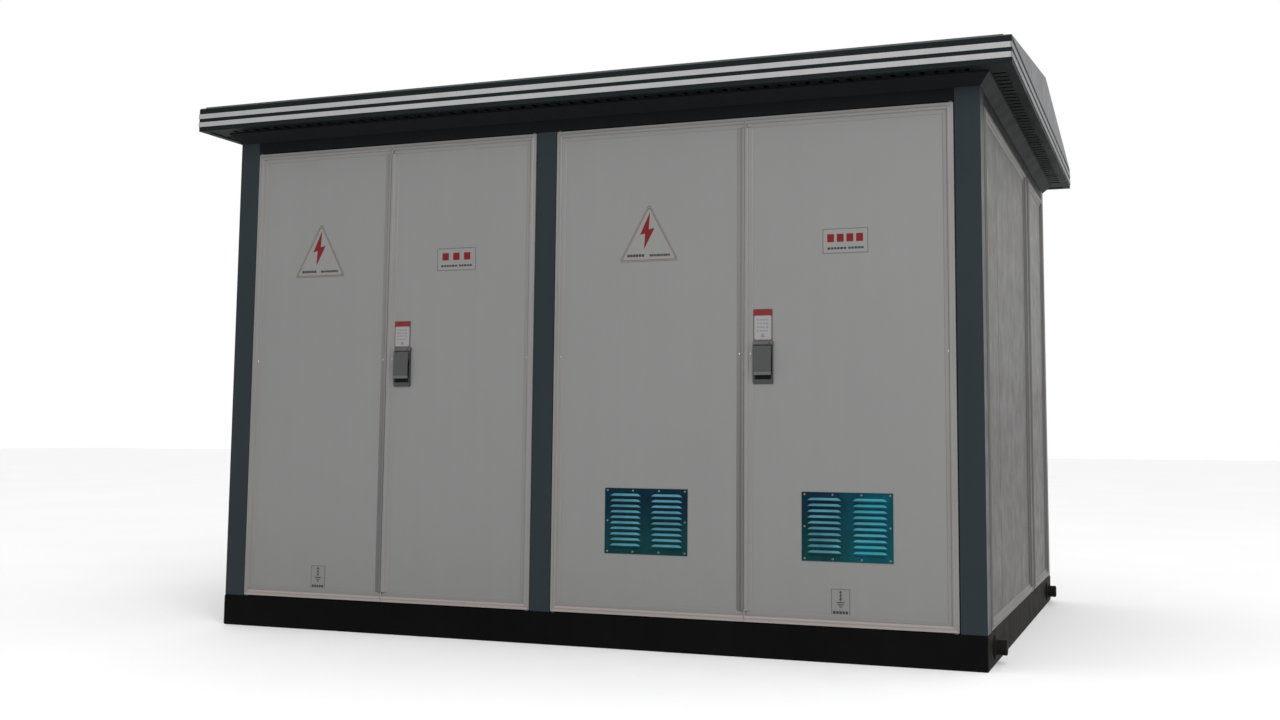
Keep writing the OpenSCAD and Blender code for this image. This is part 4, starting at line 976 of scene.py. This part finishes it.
def triangle(name, body, cx, zb, width, height):
    p = Piece(name, body, "stripe_white")
    big = [(-width / 2, 0), (width / 2, 0), (0, height)]

    def scaled(s, r):
        c = (0, height / 3)
        return arc_corners([(c[0] + (x - c[0]) * s, c[1] + (z - c[1]) * s) for x, z in big], r, 5)

    p.plate((cx, PY - 0.05, zb), "y-", scaled(1.0, 10), 0.7, M["pale"], 0.2)
    p.ring_plate((cx, layer(0), zb), "y-", scaled(0.985, 9), scaled(0.962, 8.6), 0.15, M["brown"])
    p.ring_plate((cx, layer(0), zb), "y-", scaled(0.925, 8), scaled(0.890, 7), 0.15, M["brown"])
    # plain bolt sign
    bolt = [(4, 209), (-42, 114), (-18, 119), (-23, 52), (26, 141), (-1, 136)]
    k = height / 246.0
    p.plate((cx, layer(0), zb), "y-", [(x, z * k) for x, z in bolt], 0.2, M["red"])
    # generic marks in place of words
    for i in range(6):
        x = -101 + i * 13.6
        p.plate((cx, layer(0), zb), "y-", rect(x, 22.5, x + 11.4, 34), 0.15, M["ink"])
    for i in range(9):
        x = 4 + i * 10.8
        p.plate((cx, layer(0), zb), "y-", rect(x, 22.5, x + (8.6 if i % 3 else 9.8), 32), 0.15, M["ink"])
    p.done()


def block(p, at, x, z, w, h, mat):
    """A plain solid block in place of a sign; no letter of any script."""
    p.plate(at, "y-", rect(x, z, x + w, z + h, 2), 0.15, mat)


def room_label(name, body, x0, x1, z0, z1, blocks):
    p = Piece(name, body, "stripe_white")
    w, h = x1 - x0, z1 - z0
    p.plate((x0, PY - 0.05, z0), "y-", rect(0, 0, w, h, 3), 0.7, M["pale"], 0.2)
    p.ring_plate((x0, layer(0), z0), "y-", rect(1.0, 1.0, w - 1.0, h - 1.0, 3), rect(4.2, 4.2, w - 4.2, h - 4.2, 2), 0.15, M["frame_ink"])
    n, bw = blocks, w * (0.160 if blocks == 4 else 0.175)
    a0, a1 = (0.105, 0.735) if blocks == 4 else (0.14, 0.69)
    for i in range(n):
        block(p, (x0, layer(0), z0), w * (a0 + (a1 - a0) * i / (n - 1)), h * 0.46, bw * 0.94, h * 0.32, M["red"])
    x = w * 0.11
    for i in range(11):
        ww = w * (0.052 if i % 4 else 0.066)
        p.plate((x0, layer(0), z0), "y-", rect(x, h * 0.17, x + ww, h * 0.17 + h * 0.085), 0.15, M["ink"])
        x += ww + w * (0.014 if i != 5 else 0.045)
    p.done()


def lock_card(name, body, cx, z0, z1):
    p = Piece(name, body, "stripe_white")
    w, h = 85.0, z1 - z0
    p.plate((cx - w / 2, PY - 0.05, z0), "y-", rect(0, 0, w, h, 1.5), 1.6, M["card_back"], 0.3)
    face = PY - 1.65
    p.plate((cx - w / 2, face, z0), "y-", rect(5.5, 6, w - 5.5, h * 0.80, 7), 0.5, M["white"], 0.1)
    p.plate((cx - w / 2, face, z0), "y-", rect(1.5, h * 0.795, w - 1.5, h - 1.5, 1.0), 0.6, M["red_card"], 0.1)
    for i in range(4):
        z = h * (0.30 + 0.115 * i)
        for j in range(4):
            x = 17 + j * 13.4
            p.plate((cx - w / 2, face - 0.5, z0), "y-", rect(x, z, x + (10 if (i + j) % 3 else 7.5), z + 5.0), 0.12, M["faint"])
    p.plate((cx - w / 2, face - 0.5, z0), "y-", arc_corners([(w * .5 - 12, h * .12), (w * .5 + 12, h * .12), (w * .5, h * .25)], 2, 3), 0.12, M["faint"])
    p.done()


def earth_sticker(name, body, cx, z0, z1):
    p = Piece(name, body, "stripe_white")
    w, h = 80.0, z1 - z0
    p.plate((cx - w / 2, PY - 0.05, z0), "y-", rect(0, 0, w, h, 2.5), 0.7, M["sticker"], 0.2)
    p.ring_plate((cx - w / 2, layer(0), z0), "y-", rect(2, 2, w - 2, h - 2, 2), rect(3.4, 3.4, w - 3.4, h - 3.4, 1.5), 0.15, M["ink"])
    # a plain earth mark: a stem with short barbs, three bars under it, then a row of plain blocks
    c = w / 2
    at = (cx - w / 2, layer(0), z0)
    p.plate(at, "y-", rect(c - 1.8, h * 0.56, c + 1.8, h * 0.93), 0.15, M["ink"])
    for i, z in enumerate((0.90, 0.78, 0.66)):
        p.plate((at[0], layer(1), at[2]), "y-", [(c - 8, h * z - 7), (c, h * z - 3), (c + 8, h * z - 7), (c, h * z + 4)], 0.15, M["ink"])
    for i, half in enumerate((17, 12, 6.5)):
        z = h * (0.50 - 0.075 * i)
        p.plate(at, "y-", rect(c - half, z, c + half, z + 3.8), 0.15, M["ink"])
    for j in range(5):
        p.plate(at, "y-", rect(8.5 + 13 * j, h * 0.12, 18.5 + 13 * j, h * 0.22), 0.15, M["ink"])
    p.done()


triangle("warning_plate_hv", "hv_door_l", -1325, 1653, 283, 264)
triangle("warning_plate_tx", "tx_door_l", 364, 1665, 283, 258)
room_label("room_label_hv", "hv_door_r", -689, -486, 1660, 1766, 3)
room_label("room_label_tx", "tx_door_r", 1142, 1337, 1667, 1773, 4)
lock_card("lock_card_a", "hv_door_r", LOCKS["a"][0] - 6, LOCKS["a"][2] + 0.5, 1432)
lock_card("lock_card_b", "tx_door_r", LOCKS["b"][0] - 3, LOCKS["b"][2] + 0.5, 1444)
earth_sticker("earth_sticker_hv", "hv_door_l", -1284, 181, 296)
earth_sticker("earth_sticker_tx", "tx_door_r", 1213, 181, 296)


# ------------------------------------------------------------------ base: trunnions, anchor bolts, welds
p = Piece("lifting_pins", "housing", "base_black", ("lifting_trunnions",))
tr = mm("lifting_trunnions")
for s, facing in ((1, "x+"), (-1, "x-")):
    for y in (-1100, 1100):
        x = s * HW
        p.lathe((x, y, 70), facing, [(0, -1), (47, -1), (47, 3.4), (45.6, 5.4), (43, 6), (37, 6.2), (33.4, 7.6), (31, 10), (30, 12.5),
                                     (30, 47.2), (27.4, 50), (0, 50)], M["base"], 40)
        # retaining collar scribed at the end
        p.lathe((x, y, 70), facing, [(30.0, 40.5), (30.7, 40.9), (30.7, 43.6), (30.0, 44.0), (30.0, 40.5)], M["base"], 40)
p.done()

p = Piece("base_details", "housing", "base_black")
# weld beads up the four corners and where the posts stand
for sx in (-1, 1):
    for sy in (-1, 1):
        pts = []
        for i in range(46):
            z = 4 + (BASE_H - 8) * i / 45
            wob = 0.5 * math.sin(i * 2.1) + random.uniform(-0.25, 0.25)
            pts.append((sx * (HW - 0.6 + wob * 0.3), sy * (HD - 0.6 + wob * 0.3), z))
        p.tube(pts, 3.0, M["base"], 8)
# bolt, washers and lug on the earthing tab at the left end
tab = mm("earth_tab")
tx_, ty_, tz_ = (tab[0][0] + tab[1][0]) / 2 - 2, tab[0][1], 112.0
p.bolt((tx_, ty_ - 4, tz_), "y-", 8.5, M["steel"])
p.plate((tx_, ty_ - 0.2, tz_), "y-", [(18 * math.cos(2 * math.pi * i / 20), 18 * math.sin(2 * math.pi * i / 20)) for i in range(20)], 3.6, M["copper"], 0.5)
p.box((tx_ - 9, ty_ - 3.8, tz_ - 52), (tx_ + 9, ty_ - 0.4, tz_ - 10), M["copper"], 0.8)
p.bolt((tx_, tab[1][1], tz_), "y+", 8.5, M["steel"], 8)
p.done()

for node, width in (("base_frame", 2.5), ("corner_posts", 2.0), ("mid_posts", 2.0), ("top_frame", 1.6), ("roof_fascia", 1.6),
                    ("fascia_stripes", 0.7), ("partitions", 1.0), ("tx_tank", 3.0), ("tx_cover", 1.5), ("rmu_cabinet", 1.2),
                    ("lv_cabinet", 1.2), ("rmu_front", 0.8), ("lv_front", 0.8), ("roof_shell", 1.0), ("cove_mould", 0.8),
                    ("door_stops", 0.8), ("tx_fins", 1.5), ("busbars", 0.8), ("lv_main_handle", 1.5), ("rmu_lever_a", 2.0),
                    ("rmu_lever_b", 2.0), ("tx_tap_knob", 1.5), ("rear_handle_a", 1.5), ("rear_handle_b", 1.5)):
    soften(node, width)


# ------------------------------------------------------------------ roof: lapped sheets and ridge cap, built after the transformer fittings
# ------------------------------------------------------------------ switchgear fronts
def window(p, x, y, z, w, h, facing):
    d = -1 if facing == "y-" else 1
    out, inn = rect(-w / 2 - 7, -7, w / 2 + 7, h + 7, 5), rect(-w / 2 + 1.5, 1.5, w / 2 - 1.5, h - 1.5, 3)
    p.ring_plate((x, y + d * 0.02, z), facing, out, inn, 2.4, M["rubber"])
    p.box((x - w / 2 + 0.4, y - d * 2.4, z + 0.4), (x + w / 2 - 0.4, y - d * 0.9, z + h - 0.4), M["glass"], 0.2, 1)


def fixings(p, x0, x1, z0, z1, y, facing, n=3):
    for x in (x0, x1):
        for i in range(n):
            p.screw((x, y, z0 + (z1 - z0) * i / (n - 1)), facing, 4.2, M["zincx"], 2.4, turn=random.uniform(0, 1.5))


p = Piece("hv_front_details", "housing", "switchgear_front")
fy_, fz = mm("rmu_front")[0][1], 144.0
for i in range(3):
    cx = -1600 + 450 * i + 225
    window(p, cx, fy_, fz + 420, 120, 80, "y-")
    window(p, cx, fy_, fz + 1380, 180, 60, "y-")
    fixings(p, cx - 209, cx + 209, fz + 78, fz + 680, fy_, "y-")
    fixings(p, cx - 209, cx + 209, fz + 722, fz + 1572, fy_, "y-", 4)
    for k, lamp in enumerate(("redp", "yellow", "green")):
        x = cx - 60 + 60 * k
        p.lathe((x, fy_, fz + 860), "y-", [(8.2, -2.5), (8.2, 0.05), (13, 0.05), (13, 1.8), (11.5, 3.2), (9.4, 3.4), (9.0, 2.0), (8.2, -2.5)], M["steel"], 26)
        p.lathe((x, fy_, fz + 860), "y-", [(0, -2.0), (8.0, -2.0), (8.0, 3.0), (7.0, 6.0), (4.2, 8.0), (0, 8.8)], M[lamp], 26)
        p.plate((x, fy_, fz + 826), "y-", rect(-19, 0, 19, 11, 1), 0.8, M["dial"], 0.2)
    # mimic lines, broken round the lever
    lever = i > 0
    for z0_, z1_ in (((900, 1060), (1192, 1345)) if lever else ((900, 1092), (1168, 1345))):
        p.plate((cx, fy_, fz), "y-", rect(-2.6, z0_, 2.6, z1_), 0.9, M["redp"])
    p.plate((cx, fy_, fz), "y-", rect(-170, 1342.5, 170, 1347.5), 0.9, M["redp"])
    if not lever:
        p.ring_plate((cx, fy_, fz), "y-", rect(-26, 1092, 26, 1168, 2), rect(-21, 1097, 21, 1163, 2), 0.9, M["redp"])
    p.plate((cx, fy_, fz), "y-", [(-13, 902), (13, 902), (0, 880)], 0.9, M["redp"])
    p.plate((cx, fy_, fz), "y-", rect(-80, 1500, 80, 1538, 2), 1.0, M["dial"], 0.3)
    for j in range(3):
        p.plate((cx, fy_ - 1.0, fz), "y-", rect(-66 + 46 * j, 1514, -30 + 46 * j, 1524), 0.15, M["ink"])
    # latch knob of the cable-box cover and its earth stud
    p.lathe((cx + 150, fy_, fz + 610), "y-", [(0, 0), (16, 0), (16, 3), (11, 5), (9, 14), (15, 18), (16, 24), (13, 27), (0, 27.5)], M["black"], 30)
    p.bolt((cx - 170, fy_, fz + 105), "y-", 7.0, M["steel"])
p.done()

p = Piece("lv_front_details", "housing", "switchgear_front")
ly = 1040.0
for i in range(4):
    x0 = -1560 + 780 * i
    cx = x0 + 390
    for z0_, z1_, n in ((78, 642, 3), (686, 1406, 4), (1452, 1976, 3)):
        fixings(p, x0 + 22, x0 + 758, fz + z0_, fz + z1_, ly, "y+", n)
        # latch of each door
        zc = fz + (z0_ + z1_) / 2
        p.lathe((x0 + 40, ly, zc), "y+", [(0, 0), (15, 0), (15, 4), (12.5, 6.5), (7.5, 7), (7.5, 4.5), (0, 4.5)], M["steel"], 28)
        p.box((x0 + 38.8, ly + 4.2, zc - 5), (x0 + 41.2, ly + 6.2, zc + 5), M["black"], 0.2, 1)
    for k in (-1, 0, 1):
        x, zc = cx + 130 * k, fz + 1668
        p.ring_plate((x, ly + 2.0, zc), "y+", rect(-47.5, -47.5, 47.5, 47.5, 4), rect(-39, -39, 39, 39, 3), 6.0, M["black"])
        p.plate((x, ly + 2.0, zc), "y+", rect(-39, -39, 39, 39, 3), 1.6, M["dial"], 0.2)
        for j in range(9):
            t = math.radians(100 - 90 * j / 8 + 35)
            r0, r1 = 58.0, (66.0 if j % 4 == 0 else 62.5)
            c, q = math.cos(t), math.sin(t)
            o = (18, -26)
            pts = [(o[0] + c * r0 - q * 0.7, o[1] + q * r0 + c * 0.7), (o[0] + c * r0 + q * 0.7, o[1] + q * r0 - c * 0.7),
                   (o[0] + c * r1 + q * 0.7, o[1] + q * r1 - c * 0.7), (o[0] + c * r1 - q * 0.7, o[1] + q * r1 + c * 0.7)]
            if all(abs(a) < 38 and abs(b) < 38 for a, b in pts):
                p.plate((x, ly + 3.6, zc), "y+", pts, 0.3, M["ink"])
        t = math.radians(118)
        c, q = math.cos(t), math.sin(t)
        p.plate((x, ly + 3.7, zc), "y+", [(18 - q * 1.2, -26 + c * 1.2), (18 + q * 1.2, -26 - c * 1.2), (18 + c * 56, -26 + q * 56)], 0.5, M["ink"])
        p.lathe((x, ly + 3.6, zc), "y+", [(0, 0), (3.0, 0), (3.0, 1.6), (0, 1.8)], M["ink"], 14)
        p.plate((x, ly, fz + 1588), "y+", rect(-34, 0, 34, 15, 1), 0.8, M["dial"], 0.2)
    p.plate((cx, ly, fz), "y+", rect(-110, 1800, 110, 1850, 3), 1.0, M["dial"], 0.3)
    for j in range(4):
        p.plate((cx, ly + 1.0, fz), "y+", rect(-92 + 47 * j, 1817, -54 + 47 * j, 1832), 0.15, M["ink"])
    if i > 0:
        for k in (-1, 0, 1):
            for r in (0, 1):
                x, z = cx + 180 * k, fz + 760 + 320 * r
                fy2 = ly - 3 + 40
                p.ring_plate((x, fy2, z), "y+", rect(-34, 62, 34, 158, 3), rect(-20, 78, 20, 142, 2), 2.2, M["black"])
                p.plate((x, fy2, z), "y+", rect(-20, 78, 20, 142, 2), 0.6, M["stop"])
                p.box((x - 15, fy2 + 0.2, z + 89), (x + 15, fy2 + 19.4, z + 131), M["black"], 3.0, 3)
                p.plate((x, fy2, z), "y+", rect(-44, 24, 44, 46, 2), 0.7, M["dial"], 0.2)
                p.plate((x, fy2 + 0.7, z), "y+", rect(-34, 31, 12, 38), 0.15, M["ink"])
                p.plate((x, fy2, z), "y+", rect(-8, 172, 8, 188, 2), 1.2, M["redp"] if r else M["green"], 0.3)
                for sx in (-44, 44):
                    for sz in (14, 206):
                        p.screw((x + sx, fy2, z + sz), "y+", 4.6, M["steel"], 2.4, turn=random.uniform(0, 1.5))
    else:
        p.plate((cx, ly, fz + 1050), "y+", rect(-95, -95, 95, 95, 10), 0.7, M["yellow"], 0.2)
        for x in (-120, 120):
            p.lathe((cx + x, ly, fz + 1270), "y+", [(0, 0), (16, 0), (16, 3), (12, 5), (12, 9), (9, 13), (0, 14)], M["redp"] if x < 0 else M["green"], 28)
p.done()

# ------------------------------------------------------------------ transformer fittings
p = Piece("tx_fittings", "housing", "tank_grey")
tc = mm("tx_cover")
tcx_, tyf, tzc = 820.0, tc[0][1], 1164.0
# rating plate on the cover's front edge, with blank lines
p.box((tcx_ - 78, tyf + 3, tzc - 0.1), (tcx_ + 78, tyf + 23, tzc + 2.4), M["zincx"], 0.5)
p.box((tcx_ - 78, tyf + 3, tzc), (tcx_ + 78, tyf + 5.4, tzc + 104), M["zincx"], 0.6)
p.plate((tcx_, tyf + 3, tzc), "y-", rect(-70, 10, 70, 98, 2), 0.8, M["dial"], 0.2)
for j in range(6):
    for k in range(2):
        p.plate((tcx_, tyf + 2.2, tzc), "y-", rect(-62 + 66 * k, 20 + 11.5 * j, -62 + 66 * k + (44 if (j + k) % 3 else 54), 24.5 + 11.5 * j), 0.15, M["ink"])
for x in (-73, 73):
    for z in (6, 98):
        p.screw((tcx_ + x, tyf + 3, tzc + z), "y-", 2.2, M["steel"], 1.2, turn=0.3)
# drain valve under the fins
ty = -460 - 280
p.lathe((tcx_, ty, 292), "y-", [(0, -1), (36, -1), (36, 9), (18, 11), (17, 44), (26, 46), (26, 58), (16, 60), (16, 84), (0, 86)], M["steel"], 32)
for k in range(6):
    t = math.pi * k / 3
    p.bolt((tcx_ + 27 * math.cos(t), ty - 9, 292 + 27 * math.sin(t)), "y-", 4.0, M["zincx"], 3)
p.lathe((tcx_, ty - 52, 316), "z+", [(0, 0), (6, 0), (6, 12), (21, 13), (21, 17), (0, 18)], M["redp"], 26)
# dial of the thermometer
gx, gy, gz = 1300 - 20, -460, 1164 + 90
p.lathe((gx, gy, gz), "x-", [(48, -3), (51, -3), (51, 5), (46, 6), (44, 2), (0, 2), (0, -1), (48, -1)], M["black"], 40)
p.lathe((gx, gy, gz), "x-", [(0, 2.0), (43, 2.0), (43, 2.8), (0, 2.8)], M["dial"], 36)
for k in range(13):
    t = math.radians(210 - 20 * k)
    c, q = math.cos(t), math.sin(t)
    p.plate((gx - 2.8, gy, gz), "x-", [(c * 33 - q * 0.8, q * 33 + c * 0.8), (c * 33 + q * 0.8, q * 33 - c * 0.8), (c * 40 + q * 0.8, q * 40 - c * 0.8), (c * 40 - q * 0.8, q * 40 + c * 0.8)], 0.3, M["ink"])
p.plate((gx - 2.9, gy, gz), "x-", [(-6, -5), (-4, -8), (22, 24)], 0.6, M["redp"])
p.done()

p = Piece("roof_laps", "housing", "roof_slate")
rs = mm("roof_shell")
eave_top = mm("roof_fascia")[1][2] + 9
ridge = rs[1][2]
half_d = mm("roof_fascia")[1][1] - 5
slope = (ridge - eave_top) / half_d
for x in (-1290, -645, 0, 645, 1290):
    for s in (-1, 1):
        pts = [(x - 14, 0), (x - 9, 5.5), (x + 9, 5.5), (x + 14, 0)]
        y_out, y_in = s * (half_d - 90), s * 52.0
        verts = []
        for y in (y_out, y_in):
            zz = ridge - slope * abs(y) - 0.4
            verts += [(a, y, zz + b) for a, b in pts]
        faces = [[0, 1, 5, 4], [1, 2, 6, 5], [2, 3, 7, 6], [3, 0, 4, 7], [3, 2, 1, 0], [4, 5, 6, 7]]
        p.add(verts, faces, M["roof"])
cap = [(-56, -56 * slope + 1.0), (-55, -55 * slope + 4.2), (-20, -20 * slope + 4.6), (0, 4.6 - 6 * slope), (20, -20 * slope + 4.6),
       (55, -55 * slope + 4.2), (56, -56 * slope + 1.0), (0, 0.6)]
x_end = mm("roof_fascia")[1][0] - 34
verts, faces = [], []
for x in (-x_end, x_end):
    verts += [(x, a, ridge + b) for a, b in cap]
k = len(cap)
faces = [[i, (i + 1) % k, k + (i + 1) % k, k + i] for i in range(k)] + [list(range(k))[::-1], list(range(k, 2 * k))]
p.add(verts, faces, M["roof"])
p.done()


# ------------------------------------------------------------------ floor, light, camera
def floor_paint():
    m = Mat("studio_floor")
    f = m.rng(m.noise(0.7, 4.0, 0.55), 0.3, 0.7, 0.985, 1.01)
    f = m.math("MULTIPLY", f, m.rng(m.noise(45, 4.0, 0.6), 0.3, 0.7, 0.992, 1.006))
    return m.done(m.shade((0.93, 0.93, 0.93), f), m.rng(m.noise(6, 3), 0.3, 0.7, 0.65, 0.8), m.bump(m.noise(120, 3.0), 0.04, 0.001),
                  0.0, 0.3)


bm = bmesh.new()
bmesh.ops.create_grid(bm, x_segments=4, y_segments=4, size=60.0)
me = bpy.data.meshes.new("studio_floor")
bm.to_mesh(me)
bm.free()
floor = bpy.data.objects.new("studio_floor", me)
floor.location.z = -0.0005
me.materials.append(floor_paint())
bpy.context.scene.collection.objects.link(floor)

world = bpy.data.worlds.new("studio")
world.use_nodes = True
wb = world.node_tree.nodes.get("Background")
wb.inputs[0].default_value = (1.0, 1.0, 1.0, 1.0)
wb.inputs[1].default_value = 1.0
bpy.context.scene.world = world


def area(name, loc, target, size, energy, color=(1, 1, 1)):
    d = bpy.data.lights.new(name, "AREA")
    d.shape = "RECTANGLE"
    d.size, d.size_y = size
    d.energy = energy
    d.color = color
    o = bpy.data.objects.new(name, d)
    o.location = loc
    o.rotation_mode = "QUATERNION"
    o.rotation_quaternion = (Vector(target) - Vector(loc)).to_track_quat("-Z", "Y")
    bpy.context.scene.collection.objects.link(o)
    return o


area("key", (5.5, -8.5, 7.0), (0.3, 0.0, 1.0), (5.0, 5.0), 560.0)

cam_d = bpy.data.cameras.new("camera")
cam_d.lens = 38.5545
cam_d.sensor_width = 36.0
cam_d.shift_x = -0.033315
cam_d.shift_y = -0.043605
cam_d.clip_start, cam_d.clip_end = 0.05, 200.0
cam = bpy.data.objects.new("camera", cam_d)
right = Vector((0.939328, 0.342958, 0.006499))
down = Vector((-0.026951, 0.092676, -0.995331))
fwd = Vector((-0.341959, 0.934768, 0.096297))
rot = Matrix((right, -down, -fwd)).transposed()
cam.rotation_mode = "QUATERNION"
cam.rotation_quaternion = rot.to_quaternion()
cam.location = (2.5436, -6.8183, 0.9052)
bpy.context.scene.collection.objects.link(cam)
bpy.context.scene.camera = cam
bpy.context.scene.view_settings.view_transform = "Standard"
bpy.context.scene.view_settings.look = "None"
